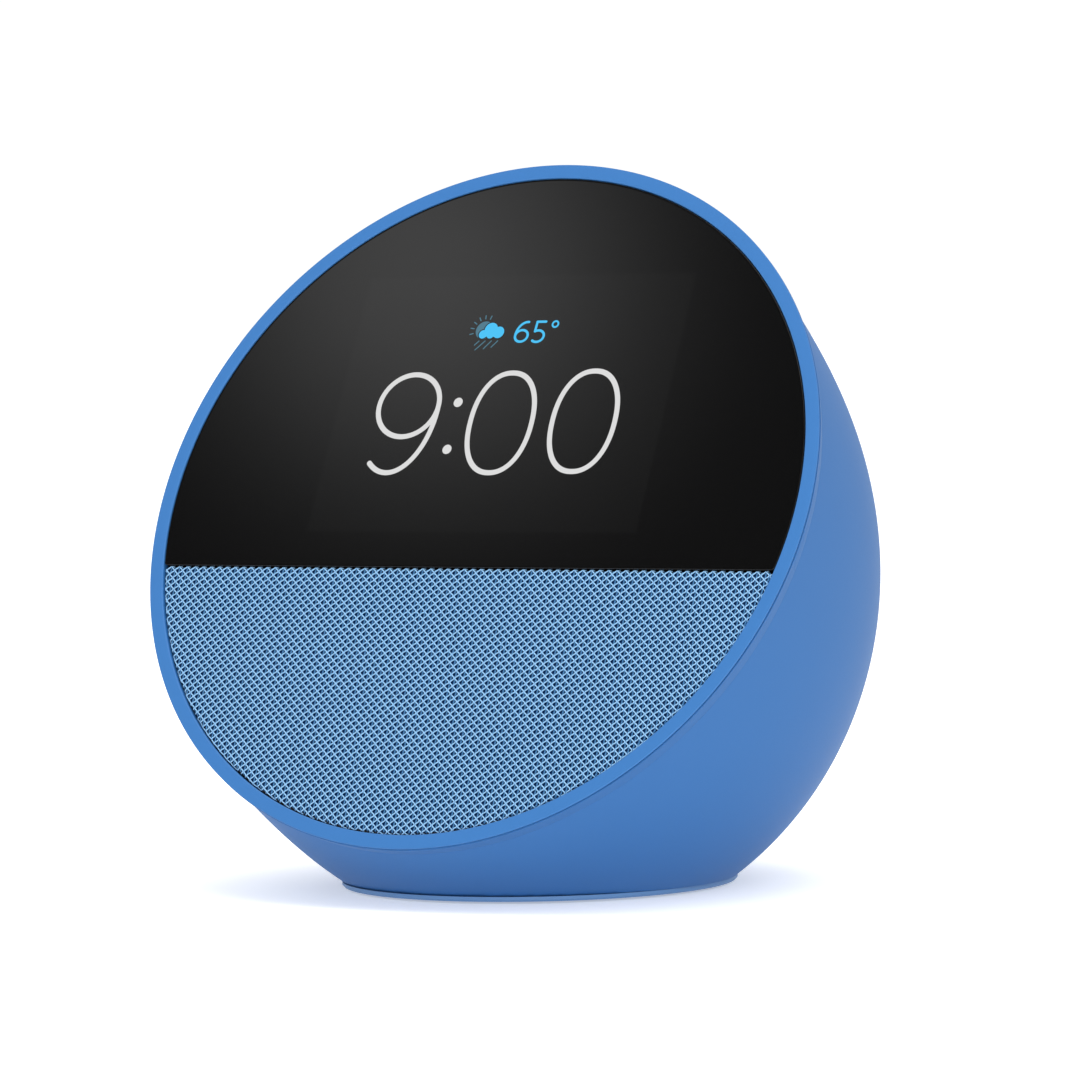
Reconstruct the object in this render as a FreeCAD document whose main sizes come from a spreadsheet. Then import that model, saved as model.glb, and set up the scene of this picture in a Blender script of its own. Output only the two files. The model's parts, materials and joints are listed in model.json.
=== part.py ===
import FreeCAD, Part
import math
import os

import Sketcher
from FreeCAD import Placement, Rotation, Vector

# A table-top smart display: a round front that leans back, held by a blue shell with a flat foot.
# Frame: +X is the width, the front looks towards -Y, +Z is up, and the origin is on the table
# under the middle of the object's box. The front pieces are drawn in the frame of the front's
# disc, where x is across, y runs up the disc, z points out of it, and z = 0 is its front plane.

doc = FreeCAD.newDocument("smart_display")
sheet = doc.addObject("Spreadsheet::Sheet", "dim")

DIMENSIONS = {
    # outer form
    "face_rad": (56.65, "outer radius of the bezel ring"),
    "lean": (27.8, "lean of the front, from upright, in degrees"),
    "face_y": (-19.4, "place of the middle of the front, front to back"),
    "face_high": (59.5, "height of the middle of the front"),
    "shell_rad": (55.8, "radius of the shell's sections behind the bezel"),
    "shell_flat": (1.3, "depth over which those sections keep that radius"),
    "shell_deep": (73.0, "depth over which they shrink to nothing"),
    "shell_bulge": (2.9, "power of the depth in the shell's profile"),
    "shell_taper": (1.45, "power of the radius in the shell's profile"),
    "shell_drop": (0.146, "fall of the sections' centres for each mm of depth"),
    "wall": (2.0, "wall of the shell"),
    # bezel, glass and cloth
    "bezel_wide": (2.27, "width of the bezel's front face"),
    "bezel_thick": (3.0, "depth of the bezel"),
    "bezel_edge": (0.35, "bevel of the bezel's outer edge"),
    "bezel_lip": (0.12, "bevel of the bezel's inner edge"),
    "bezel_step": (0.35, "step from the bezel's back edge out over the shell"),
    "bezel_skirt": (0.6, "height of the bezel's tapered skirt"),
    "seat_gap": (0.02, "clearance between the bezel and the shell's front edge"),
    "rim_gap": (0.16, "gap between the bezel and the pieces inside it"),
    "inset": (0.15, "depth of the glass and the cloth behind the bezel's face"),
    "split": (-11.3, "height of the joint between glass and cloth on the disc"),
    "split_gap": (0.10, "half of the gap at that joint"),
    "glass_thick": (1.2, "cover glass"),
    "cloth_thick": (0.65, "grille cloth"),
    "tape_edge": (0.6, "width of glass left bare beyond the tape"),
    "cell_edge": (0.4, "step from the touch film's edge in to the cell's"),
    "guide_edge": (1.2, "wall of the back light's frame"),
    "guide_deep": (0.5, "depth of the light guide's pocket"),
    # picture module
    "lcd_half": (30.6, "half of the picture module's width"),
    "lcd_high": (39.3, "top edge of the picture module"),
    "lcd_low": (-9.0, "bottom edge of the picture module"),
    "touch_thick": (0.25, "touch film"),
    "cell_thick": (1.3, "liquid crystal cell"),
    "light_thick": (1.9, "back light"),
    # chassis
    "deck": (-1.65, "front face of the chassis"),
    "deck_thick": (1.35, "plate of the chassis"),
    "tray_wall": (1.2, "wall and floor of the tray that holds the picture module"),
    "fit_gap": (0.15, "clearance of a seated piece"),
    "tie_x_high": (45.5, "upper chassis screws, across"),
    "tie_y_high": (12.0, "upper chassis screws, up"),
    "tie_x_low": (37.5, "lower chassis screws, across"),
    "tie_y_low": (-32.0, "lower chassis screws, up"),
    "tie_sleeve": (4.0, "radius of the chassis sleeves"),
    "tie_deep": (2.0, "length of the chassis sleeves"),
    "tie_sink": (1.5, "depth of the pocket for a chassis screw's head"),
    "head_pocket": (2.3, "radius of that pocket"),
    "tap_bore": (1.15, "radius of a tapped hole in a boss"),
    "pass_bore": (1.25, "radius of a hole that a case screw passes through"),
    "small_bore": (1.0, "radius of a tapped hole for a small screw"),
    "small_pass": (1.15, "radius of a hole that a small screw passes through"),
    "boss_rad": (3.2, "radius of a boss of the shell"),
    # loudspeaker
    "spk_y": (-31.6, "middle of the loudspeaker on the disc"),
    "spk_rad": (20.0, "radius of its flange"),
    "spk_front": (-3.6, "front face of its flange"),
    "spk_ear": (22.5, "radius of its ears' screw circle"),
    "ear_rad": (2.8, "radius of an ear"),
    "cone_rad": (14.5, "radius of the cone"),
    "coil_rad": (5.0, "inner radius of the voice coil's tube"),
    "magnet_rad": (12.0, "radius of the magnet"),
    "spk_flange": (1.0, "thickness of the loudspeaker's flange"),
    "coil_top": (-9.6, "top of the voice coil's tube"),
    "coil_wind": (-14.2, "top of the voice coil's winding"),
    "coil_low": (-17.4, "bottom of the voice coil"),
    "pole_top": (-14.3, "top of the yoke's pole"),
    "top_plate_top": (-14.8, "top of the magnet's upper plate"),
    "magnet_top": (-16.4, "top of the magnet"),
    "magnet_low": (-21.0, "bottom of the magnet"),
    "yoke_low": (-23.0, "bottom of the yoke"),
    "shelf_top": (-11.8, "shelf of the basket that the spider stands on"),
    "cone_low": (-10.4, "lower edge of the cone"),
    "cone_high": (-4.85, "upper edge of the cone"),
    # boards
    "board_z": (-14.0, "front face of the main board"),
    "board_thick": (1.2, "a circuit board"),
    "board_half": (31.0, "half of the main board's width"),
    "board_low": (-7.0, "lower edge of the main board"),
    "board_high": (33.0, "upper edge of the main board"),
    "post_x": (27.0, "main board screws, across"),
    "post_low": (-3.0, "lower main board screws, up"),
    "post_high": (29.0, "upper main board screws, up"),
    "post_rad": (2.5, "radius of a board post"),
    "can_x": (17.0, "half of the shield can's width"),
    "can_low": (1.0, "lower edge of the shield can"),
    "can_high": (26.0, "upper edge of the shield can"),
    "can_wall": (0.3, "sheet of the shield can"),
    "can_deep": (2.0, "depth of the shield can"),
    "spread_thick": (1.2, "sheet of the heat spreader"),
    "spread_rise": (3.0, "height of the heat spreader's middle over the board"),
    # buttons
    "key_deep": (17.0, "distance of the buttons behind the front"),
    "key_pitch": (15.0, "distance between buttons"),
    "key_rad": (4.75, "radius of a button"),
    "key_gap": (0.3, "gap round a button"),
    "key_proud": (0.35, "height of a button over the shell"),
    "key_flange": (5.4, "radius of a button's flange"),
    "key_board": (-10.2, "top of the button board under the shell's surface"),
    "key_board_half": (4.5, "half of the button board's width"),
    "key_post": (2.0, "radius of a button board post"),
    "key_tap": (0.95, "radius of the tapped hole in that post"),
    "boot_rad": (1.6, "radius of a microphone boot"),
    "mic_bore": (0.6, "radius of a microphone hole"),
    "mic_half": (1.7, "half of a microphone's length"),
    "tact_side": (6.0, "side of a tact switch"),
    "tact_high": (2.8, "height of a tact switch"),
    "plunger_rad": (1.7, "radius of a switch plunger"),
    "plunger_top": (-6.9, "top of a switch plunger"),
    "key_tie": (23.2, "place of the button board's screws, across"),
    "mic_x": (7.5, "place of the microphones between the buttons"),
    # foot
    "foot_rad": (30.2, "radius of the base plate"),
    "foot_y": (-2.9, "middle of the base plate, front to back"),
    "shell_low": (1.2, "height of the shell's lower edge"),
    "plate_low": (0.4, "height of the base plate's lower face"),
    "plug_rad": (25.7, "radius of the base plate's raised middle"),
    "plug_top": (3.15, "height of the base plate's upper face"),
    "pad_out": (25.2, "outer radius of the rubber foot"),
    "pad_in": (20.6, "inner radius of the rubber foot"),
    "pad_top": (0.9, "top of the rubber foot"),
    "web_in": (21.5, "radius of the opening in the shell's floor web"),
    "web_low": (3.2, "lower face of that web"),
    "web_thick": (1.6, "thickness of that web"),
    "base_tie": (23.2, "radius of the base screws' circle"),
    "weight_rad": (20.0, "radius of the steel weight"),
    "weight_high": (3.5, "height of the steel weight"),
    # power inlet
    "jack_z": (15.0, "height of the power inlet's axis"),
    "jack_y": (36.9, "place of the inlet's mouth"),
    "jack_nose": (4.0, "radius of the inlet's nose"),
    "jack_bore": (2.85, "radius of the inlet's bore"),
    "jack_deep": (9.5, "depth of the inlet's bore"),
    "jack_pin": (1.0, "radius of the inlet's centre pin"),
    "jack_half": (4.6, "half of the inlet body's width and height"),
    "jack_long": (13.0, "length of the inlet"),
    "jack_gap": (0.25, "clearance of the inlet's nose in the shell"),
    "jack_neck": (-4.2, "place where the inlet's square body starts"),
    "jack_post": (2.0, "radius of an inlet board post"),
}

for row, (alias, (amount, note)) in enumerate(DIMENSIONS.items(), start=1):
    sheet.set(f"A{row}", note)
    sheet.set(f"B{row}", str(amount))
    sheet.setAlias(f"B{row}", alias)
doc.recompute()

NODES = []
NEAR_ZERO = 1e-9


# ---------------------------------------------------------------- helpers

def num(expression):
    """The value of an expression over the sheet's cells, such as dim.wall * 2."""
    return float(sheet.evalExpression(str(expression)))


def is_bound(expression):
    return "dim." in str(expression)


def part(feature, label):
    """Name a finished sub-part and put it on the list of what is written."""
    feature.Label = label
    NODES.append(feature)
    return feature


def hold_point(sketch, geometry, point, across, up, name):
    """Fix a sketch point at two expressions, measured from the sketch's origin."""
    for direction, expression, axis in (("X", across, -2), ("Y", up, -1)):
        amount = num(expression)
        if abs(amount) < NEAR_ZERO:
            sketch.addConstraint(Sketcher.Constraint("PointOnObject", geometry, point, axis))
            continue
        index = sketch.addConstraint(
            Sketcher.Constraint("Distance" + direction, -1, 1, geometry, point, amount))
        if is_bound(expression):
            sketch.renameConstraint(index, name + direction.lower())
            sketch.setExpression("Constraints." + name + direction.lower(), str(expression))


def draw_polygon(sketch, corners, name):
    """Closed outline through (across, up) expressions."""
    points = [Vector(num(across), num(up), 0) for across, up in corners]
    first = sketch.GeometryCount
    count = len(points)
    for i in range(count):
        sketch.addGeometry(Part.LineSegment(points[i], points[(i + 1) % count]), False)
    for i in range(count):
        following = first + (i + 1) % count
        sketch.addConstraint(Sketcher.Constraint("Coincident", first + i, 2, following, 1))
    for i, (across, up) in enumerate(corners):
        hold_point(sketch, first + i, 1, across, up, f"{name}{i}")


def draw_circle(sketch, across, up, radius, name):
    centre = Vector(num(across), num(up), 0)
    index = sketch.addGeometry(Part.Circle(centre, Vector(0, 0, 1), num(radius)), False)
    hold_point(sketch, index, 3, across, up, name)
    held = sketch.addConstraint(Sketcher.Constraint("Radius", index, num(radius)))
    if is_bound(radius):
        sketch.renameConstraint(held, name + "r")
        sketch.setExpression("Constraints." + name + "r", str(radius))


def draw_segment(sketch, radius, chord, above, name):
    """The part of a disc above or below a level chord."""
    disc, level = num(radius), num(chord)
    start = math.asin(level / disc)
    end = math.pi - start
    if not above:
        start, end = end, 2 * math.pi + start
    rim = Part.Circle(Vector(0, 0, 0), Vector(0, 0, 1), disc)
    arc = Part.ArcOfCircle(rim, start, end)
    rim_id = sketch.addGeometry(arc, False)
    line_id = sketch.addGeometry(Part.LineSegment(arc.EndPoint, arc.StartPoint), False)
    sketch.addConstraint(Sketcher.Constraint("Coincident", rim_id, 3, -1, 1))
    sketch.addConstraint(Sketcher.Constraint("Coincident", rim_id, 2, line_id, 1))
    sketch.addConstraint(Sketcher.Constraint("Coincident", line_id, 2, rim_id, 1))
    sketch.addConstraint(Sketcher.Constraint("Horizontal", line_id))
    held = sketch.addConstraint(Sketcher.Constraint("Radius", rim_id, disc))
    sketch.renameConstraint(held, name + "r")
    sketch.setExpression("Constraints." + name + "r", str(radius))
    held = sketch.addConstraint(Sketcher.Constraint("DistanceY", -1, 1, line_id, 1, level))
    sketch.renameConstraint(held, name + "c")
    sketch.setExpression("Constraints." + name + "c", str(chord))


def new_sketch(body, plane_role, loops, level="0"):
    """A sketch on one of the body's own planes, lifted to a level, holding closed loops.

    A loop is ("poly", corners), ("box", left, low, right, high), ("disc", across, up, radius)
    or ("segment", radius, chord, above)."""
    sketch = body.newObject("Sketcher::SketchObject", "Sketch")
    plane = [f for f in body.Origin.OriginFeatures if f.Role == plane_role][0]
    sketch.AttachmentSupport = (plane, [""])
    sketch.MapMode = "FlatFace"
    sketch.AttachmentOffset = Placement(Vector(0, 0, num(level)), Rotation())
    if is_bound(level):
        sketch.setExpression("AttachmentOffset.Base.z", str(level))
    for number, (kind, *sizes) in enumerate(loops):
        name = f"loop{number}_"
        if kind == "poly":
            draw_polygon(sketch, sizes[0], name)
        elif kind == "box":
            left, low, right, high = sizes
            corners = [(left, low), (right, low), (right, high), (left, high)]
            draw_polygon(sketch, corners, name)
        elif kind == "disc":
            draw_circle(sketch, *sizes, name)
        else:
            draw_segment(sketch, *sizes, name)
    return sketch


def new_body(name, place):
    body = doc.addObject("PartDesign::Body", name)
    body.Placement = place
    return body


def turn(body, corners):
    """Revolve an outline of (radius, height) corners about the body's Z axis."""
    sketch = new_sketch(body, "XZ_Plane", [("poly", corners)])
    doc.recompute()
    revolution = body.newObject("PartDesign::Revolution", "Revolution")
    revolution.Profile = sketch
    revolution.ReferenceAxis = (sketch, ["V_Axis"])
    revolution.Angle = 360
    sketch.Visibility = False
    doc.recompute()
    return revolution


def extrude(body, loops, low, high, plane_role="XY_Plane"):
    """Pad closed loops from one level to another along the plane's normal."""
    sketch = new_sketch(body, plane_role, loops, low)
    doc.recompute()
    pad = body.newObject("PartDesign::Pad", "Pad")
    pad.Profile = sketch
    pad.Length = num(high) - num(low)
    pad.setExpression("Length", f"({high}) - ({low})")
    sketch.Visibility = False
    doc.recompute()
    return pad


def carve(body, loops, low, high, plane_role="XY_Plane"):
    """Pocket closed loops between two levels, and make sure that something was cut."""
    before = body.Shape.Volume
    sketch = new_sketch(body, plane_role, loops, high)
    doc.recompute()
    pocket = body.newObject("PartDesign::Pocket", "Pocket")
    pocket.Profile = sketch
    pocket.Length = num(high) - num(low)
    pocket.setExpression("Length", f"({high}) - ({low})")
    sketch.Visibility = False
    doc.recompute()
    if body.Shape.Volume > before - 1e-6:
        raise RuntimeError(f"{body.Name}: a pocket cut nothing")
    return pocket


def turned(label, place, corners):
    body = new_body(label, place)
    turn(body, corners)
    return part(body, label)


def plate(label, place, loops, low, high, plane_role="XY_Plane"):
    body = new_body(label, place)
    extrude(body, loops, low, high, plane_role)
    return part(body, label)


def rod(place, radius, low, high):
    """A cylinder along the placement's Z axis, from one level to another."""
    cylinder = doc.addObject("Part::Cylinder", "Rod")
    cylinder.setExpression("Radius", str(radius))
    cylinder.setExpression("Height", f"({high}) - ({low})")
    cylinder.Placement = place * Placement(Vector(0, 0, num(low)), Rotation())
    return cylinder


def block(place, low, high):
    """A box between two corners, each three expressions, in the placement's frame."""
    box = doc.addObject("Part::Box", "Block")
    for name, first, last in zip(("Length", "Width", "Height"), low, high):
        box.setExpression(name, f"({last}) - ({first})")
    box.Placement = place * Placement(Vector(*[num(value) for value in low]), Rotation())
    return box


def fused(*pieces):
    union = doc.addObject("Part::MultiFuse", "Union")
    union.Shapes = list(pieces)
    return union


def less(base, tool):
    cut = doc.addObject("Part::Cut", "Cut")
    cut.Base = base
    cut.Tool = tool
    return cut


def shared(first, second):
    common = doc.addObject("Part::MultiCommon", "Common")
    common.Shapes = [first, second]
    return common


def group(label, pieces):
    """Several separate solids in one node."""
    compound = doc.addObject("Part::Compound", label)
    compound.Links = list(pieces)
    return part(compound, label)


def moved(place, across, up, out=0):
    return place * Placement(Vector(num(across), num(up), num(out)), Rotation())


def screw(place, head_rad, head_high, shank_rad, shank_long):
    """A low-head screw: its head rises from z = 0 and its shank goes down."""
    body = new_body("Screw", place)
    turn(body, [("0", head_high), (head_rad, head_high), (head_rad, "0"), (shank_rad, "0"),
                (shank_rad, f"-{shank_long} + 0.4"), (f"{shank_rad} - 0.4", f"-{shank_long}"),
                ("0", f"-{shank_long}")])
    carve(body, [("disc", "0", "0", f"{head_rad} * 0.42")], f"{head_high} * 0.4", head_high)
    return body


def wire_run(points, radius):
    """A round wire: straight runs joined by tangent arcs as large as the runs allow."""
    bend_share = 0.45
    edges = []
    last = points[0]
    for before, corner, after in zip(points, points[1:], points[2:]):
        back = (before - corner)
        ahead = (after - corner)
        reach = bend_share * min(back.Length, ahead.Length)
        back.normalize()
        ahead.normalize()
        enter = corner + back * reach
        leave = corner + ahead * reach
        half_turn = (math.pi - back.getAngle(ahead)) / 2
        bend = reach / math.tan(half_turn)
        centre = corner + (back + ahead).normalize() * (bend / math.cos(half_turn))
        middle = centre + (corner - centre).normalize() * bend
        edges.append(Part.LineSegment(last, enter).toShape())
        edges.append(Part.Arc(enter, middle, leave).toShape())
        last = leave
    edges.append(Part.LineSegment(last, points[-1]).toShape())
    path = Part.Wire(edges)
    start = points[1] - points[0]
    section = Part.Wire(Part.Circle(points[0], start, radius).toShape())
    tube = path.makePipeShell([section], True, True)
    expected = math.pi * radius ** 2 * path.Length
    if abs(tube.Volume - expected) > 0.02 * expected:
        raise RuntimeError("a wire has the wrong volume")
    return tube


def wires(label, runs, radius):
    feature = doc.addObject("Part::Feature", label)
    feature.Shape = Part.makeCompound([wire_run(run, radius) for run in runs])
    return part(feature, label)


# ---------------------------------------------------------------- frames

LEAN = math.radians(num("dim.lean"))
FACE = Placement(Vector(0, num("dim.face_y"), num("dim.face_high")),
                 Rotation(Vector(1, 0, 0), 90 - num("dim.lean")))
SPEAKER = moved(FACE, "0", "dim.spk_y")
WORLD = Placement()
FOOT = moved(WORLD, "0", "dim.foot_y")


def shell_radius(depth):
    """Radius of the shell's section at a depth behind the front plane."""
    share = max(depth - num("dim.shell_flat"), 0.0) / num("dim.shell_deep")
    rest = max(1.0 - share ** num("dim.shell_bulge"), 0.0)
    return num("dim.shell_rad") * rest ** (1 / num("dim.shell_taper"))


def shell_solid(offset, name):
    """The shell's outer form, grown by an offset: a solid of round sections parallel to the
    front whose centres fall with depth, so it is turned upright and then sheared."""
    above, steps = 4.0, 16
    flat, deep = num("dim.shell_flat"), num("dim.shell_deep") + offset
    bulge, taper = num("dim.shell_bulge"), num("dim.shell_taper")
    radius = num("dim.shell_rad") + offset
    curve_points = []
    for step in range(steps + 1):
        angle = math.radians(90) * step / steps
        depth = flat + deep * math.sin(angle) ** (2 / bulge)
        curve_points.append(Vector(radius * max(math.cos(angle), 0.0) ** (2 / taper), 0, -depth))
    curve_points[-1] = Vector(0, 0, -flat - deep)
    profile = Part.BSplineCurve()
    profile.interpolate(curve_points)
    top = Vector(radius, 0, above)
    edges = [
        Part.LineSegment(Vector(0, 0, above), top).toShape(),
        Part.LineSegment(top, curve_points[0]).toShape(),
        profile.toShape(),
        Part.LineSegment(curve_points[-1], Vector(0, 0, above)).toShape(),
    ]
    turned_solid = Part.Face(Part.Wire(edges)).revolve(Vector(0, 0, 0), Vector(0, 0, 1), 360)
    shear = FreeCAD.Matrix()
    shear.A23 = num("dim.shell_drop")
    feature = doc.addObject("Part::Feature", name)
    feature.Shape = turned_solid.transformGeometry(shear)
    feature.Placement = FACE
    return feature


def key_frame():
    """Frame on the shell's top line where the buttons are: z points out of the shell, y back."""
    depth, step = num("dim.key_deep"), 0.5
    rise = [shell_radius(d) - num("dim.shell_drop") * d for d in (depth - step, depth + step)]
    back_lean = math.degrees(math.atan((rise[0] - rise[1]) / (2 * step)))
    height = shell_radius(depth) - num("dim.shell_drop") * depth
    place = Placement(Vector(0, height, -depth), Rotation(Vector(1, 0, 0), -90 - back_lean))
    return FACE * place


KEYS = key_frame()
JACK = Placement(Vector(0, num("dim.jack_y"), num("dim.jack_z")),
                 Rotation(Vector(1, 0, 0), -90))

# ---------------------------------------------------------------- rear shell

outer_form = shell_solid(0.0, "outer_form")
inner_form = shell_solid(-num("dim.wall"), "inner_form")
doc.recompute()

TIES = [(f"{side}*dim.tie_x_high", "dim.tie_y_high") for side in (1, -1)]
TIES += [(f"{side}*dim.tie_x_low", "dim.tie_y_low") for side in (1, -1)]
TIE_TOP = "dim.deck - dim.deck_thick - dim.tie_deep - 0.1"
BASE_ANGLES = (45, 135, 225, 315)


def base_spot(angle):
    across = f"dim.base_tie * {math.cos(math.radians(angle)):.6f}"
    back = f"dim.base_tie * {math.sin(math.radians(angle)):.6f}"
    return moved(FOOT, across, back)


JACK_FEET = (-5.6, 5.6)
JACK_BOARD_LOW = "dim.jack_z - dim.jack_half - dim.board_thick"
JACK_BOARD_MID = "dim.jack_y - 9.5"

bosses = [rod(moved(FACE, *tie), "dim.boss_rad", "-50", TIE_TOP) for tie in TIES]
KEY_TIES = ("-dim.key_tie", "dim.key_tie")
key_posts = [rod(moved(KEYS, x, "0"), "dim.key_post", "dim.key_board + 0.05", "0")
             for x in KEY_TIES]
base_bosses = [rod(base_spot(angle), "3", "dim.web_low", "10") for angle in BASE_ANGLES]
jack_posts = [rod(moved(WORLD, x, JACK_BOARD_MID), "dim.jack_post", "dim.web_low", JACK_BOARD_LOW)
              for x in JACK_FEET]
web = less(rod(FOOT, "45", "dim.web_low", "dim.web_low + dim.web_thick"),
           rod(FOOT, "dim.web_in", "0", "10"))
skin = less(outer_form, inner_form)
inner_work = shared(fused(web, *bosses, *key_posts, *base_bosses, *jack_posts), outer_form)
raw_shell = fused(skin, inner_work)

front_plane = block(FACE, ("-80", "-80", "-dim.bezel_thick - dim.seat_gap"), ("80", "80", "40"))
floor = block(WORLD, ("-80", "-80", "-20"), ("80", "80", "dim.shell_low"))
key_holes = [rod(moved(KEYS, f"{i}*dim.key_pitch", "0"), "dim.key_rad + dim.key_gap", "-6.6", "8")
             for i in (-1, 0, 1)]
mic_holes = [rod(moved(KEYS, f"{side}*dim.mic_x", "0"), "dim.mic_bore", "-6", "3")
             for side in (-1, 1)]
tie_holes = [rod(moved(FACE, *tie), "dim.tap_bore", "-22", TIE_TOP) for tie in TIES]
key_post_holes = [rod(moved(KEYS, x, "0"), "dim.key_tap", "dim.key_board", "-6")
                  for x in KEY_TIES]
base_holes = [rod(base_spot(angle), "dim.tap_bore", "0", "9") for angle in BASE_ANGLES]
jack_post_holes = [rod(moved(WORLD, x, JACK_BOARD_MID), "0.9", "5", JACK_BOARD_LOW)
                   for x in JACK_FEET]
jack_hole = rod(JACK, "dim.jack_nose + dim.jack_gap", "-6", "14")
openings = fused(front_plane, floor, *key_holes, *mic_holes, *tie_holes, *key_post_holes,
                 *base_holes, *jack_post_holes, jack_hole)
part(less(raw_shell, openings), "rear_shell")
doc.recompute()

# ---------------------------------------------------------------- bezel, glass, grille

BEZEL_IN = "dim.face_rad - dim.bezel_wide"
INSIDE = "dim.face_rad - dim.bezel_wide - dim.rim_gap"
GLASS_BACK = "-dim.inset - dim.glass_thick"

turned("bezel_ring", FACE, [
    (BEZEL_IN, "-dim.bezel_lip"),
    (f"{BEZEL_IN} + dim.bezel_lip", "0"),
    ("dim.face_rad - dim.bezel_edge", "0"),
    ("dim.face_rad", "-dim.bezel_edge"),
    ("dim.face_rad", "-dim.bezel_thick + dim.bezel_skirt"),
    ("dim.shell_rad + dim.bezel_step", "-dim.bezel_thick"),
    (BEZEL_IN, "-dim.bezel_thick"),
])

plate("cover_glass", FACE, [("segment", INSIDE, "dim.split + dim.split_gap", True)],
      GLASS_BACK, "-dim.inset")
plate("glass_tape", FACE, [
    ("segment", f"{INSIDE} - 0.5", "dim.split + dim.tape_edge", True),
    ("box", "-dim.lcd_half - dim.tape_edge", "dim.lcd_low - dim.tape_edge",
     "dim.lcd_half + dim.tape_edge", "dim.lcd_high + dim.tape_edge"),
], "dim.deck", GLASS_BACK)
plate("grille_cloth", FACE, [("segment", INSIDE, "dim.split - dim.split_gap", False)],
      "-dim.inset - dim.cloth_thick", "-dim.inset")

GRILLE_LOW, GRILLE_TOP = "dim.deck + 0.02", "-dim.inset - dim.cloth_thick - 0.02"
grille = new_body("grille_plate", FACE)
extrude(grille, [("segment", f"{INSIDE} - 0.1", "dim.split - 0.15", False)],
        GRILLE_LOW, GRILLE_TOP)
HOLE_PITCH, HOLE_RADIUS, HOLE_FIELD = 3.6, 1.25, 16.6
perforations = []
for line in range(-5, 6):
    up = line * HOLE_PITCH * math.sin(math.radians(60))
    shift = HOLE_PITCH / 2 if line % 2 else 0.0
    for column in range(-5, 6):
        across = column * HOLE_PITCH + shift
        if math.hypot(across, up) < HOLE_FIELD:
            perforations.append(("disc", f"{across:.3f}", f"dim.spk_y + {up:.3f}", HOLE_RADIUS))
carve(grille, perforations, GRILLE_LOW, GRILLE_TOP)
part(grille, "grille_plate")

# ---------------------------------------------------------------- picture module

LCD_LOOP = [("box", "-dim.lcd_half", "dim.lcd_low", "dim.lcd_half", "dim.lcd_high")]
TOUCH_BACK = f"{GLASS_BACK} - dim.touch_thick"
CELL_BACK = f"{TOUCH_BACK} - dim.cell_thick"
LIGHT_BACK = f"{CELL_BACK} - dim.light_thick"
plate("touch_film", FACE, LCD_LOOP, TOUCH_BACK, GLASS_BACK)
plate("lcd_cell", FACE, [("box", "-dim.lcd_half + dim.cell_edge", "dim.lcd_low + dim.cell_edge",
                          "dim.lcd_half - dim.cell_edge", "dim.lcd_high - dim.cell_edge")],
      CELL_BACK, TOUCH_BACK)
light = new_body("back_light", FACE)
extrude(light, LCD_LOOP, LIGHT_BACK, CELL_BACK)
carve(light, [("box", "-dim.lcd_half + dim.guide_edge", "dim.lcd_low + dim.guide_edge",
               "dim.lcd_half - dim.guide_edge", "dim.lcd_high - dim.guide_edge")],
      f"{CELL_BACK} - dim.guide_deep", CELL_BACK)
part(light, "back_light")
GUIDE_IN = "dim.guide_edge + 0.1"
plate("light_guide", FACE, [("box", f"-dim.lcd_half + {GUIDE_IN}", f"dim.lcd_low + {GUIDE_IN}",
                             f"dim.lcd_half - ({GUIDE_IN})", f"dim.lcd_high - ({GUIDE_IN})")],
      f"{CELL_BACK} - dim.guide_deep", f"{CELL_BACK} - 0.02")

# ---------------------------------------------------------------- front chassis

DECK_BACK = "dim.deck - dim.deck_thick"
TRAY_FLOOR = f"{LIGHT_BACK} - 0.1"
TRAY_BACK = f"{TRAY_FLOOR} - dim.tray_wall"
TRAY_IN = ("box", "-dim.lcd_half - dim.fit_gap", "dim.lcd_low - dim.fit_gap",
           "dim.lcd_half + dim.fit_gap", "dim.lcd_high + dim.fit_gap")
TRAY_OUT = ("box", "-dim.lcd_half - dim.fit_gap - dim.tray_wall",
            "dim.lcd_low - dim.fit_gap - dim.tray_wall",
            "dim.lcd_half + dim.fit_gap + dim.tray_wall",
            "dim.lcd_high + dim.fit_gap + dim.tray_wall")
POSTS = [(f"{side}*dim.post_x", up) for side in (1, -1) for up in ("dim.post_low", "dim.post_high")]
EARS = [(f"{sx}*dim.spk_ear*0.70711", f"dim.spk_y + {sy}*dim.spk_ear*0.70711")
        for sx in (1, -1) for sy in (1, -1)]

chassis = new_body("front_chassis", FACE)
extrude(chassis, [("disc", "0", "0", INSIDE)], DECK_BACK, "dim.deck")
extrude(chassis, [TRAY_OUT], TRAY_BACK, "dim.deck")
extrude(chassis, [("disc", *tie, "dim.tie_sleeve") for tie in TIES],
        f"{DECK_BACK} - dim.tie_deep", "dim.deck")
extrude(chassis, [("disc", *ear, "dim.ear_rad") for ear in EARS], "dim.spk_front", "dim.deck")
extrude(chassis, [("disc", *post, "dim.post_rad") for post in POSTS],
        "dim.board_z", f"{TRAY_BACK} + 0.2")
carve(chassis, [TRAY_IN], TRAY_FLOOR, "dim.deck")
carve(chassis, [("disc", "0", "dim.spk_y", "dim.spk_rad - 2.6")], "dim.spk_front - 1", "dim.deck")
carve(chassis, [("disc", *tie, "dim.head_pocket") for tie in TIES],
      "dim.deck - dim.tie_sink", "dim.deck")
carve(chassis, [("disc", *tie, "dim.pass_bore") for tie in TIES],
      f"{DECK_BACK} - dim.tie_deep", "dim.deck")
carve(chassis, [("disc", *ear, "dim.small_bore") for ear in EARS], "dim.spk_front", "-2.0")
carve(chassis, [("disc", *post, "dim.small_bore") for post in POSTS], "dim.board_z", "-8.5")
FLEX_HALF = 9.0
carve(chassis, [("box", -FLEX_HALF - 0.5, "dim.lcd_low + 0.6", FLEX_HALF + 0.5,
                 "dim.lcd_low + 3.0")], TRAY_BACK, TRAY_FLOOR)
part(chassis, "front_chassis")

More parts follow.
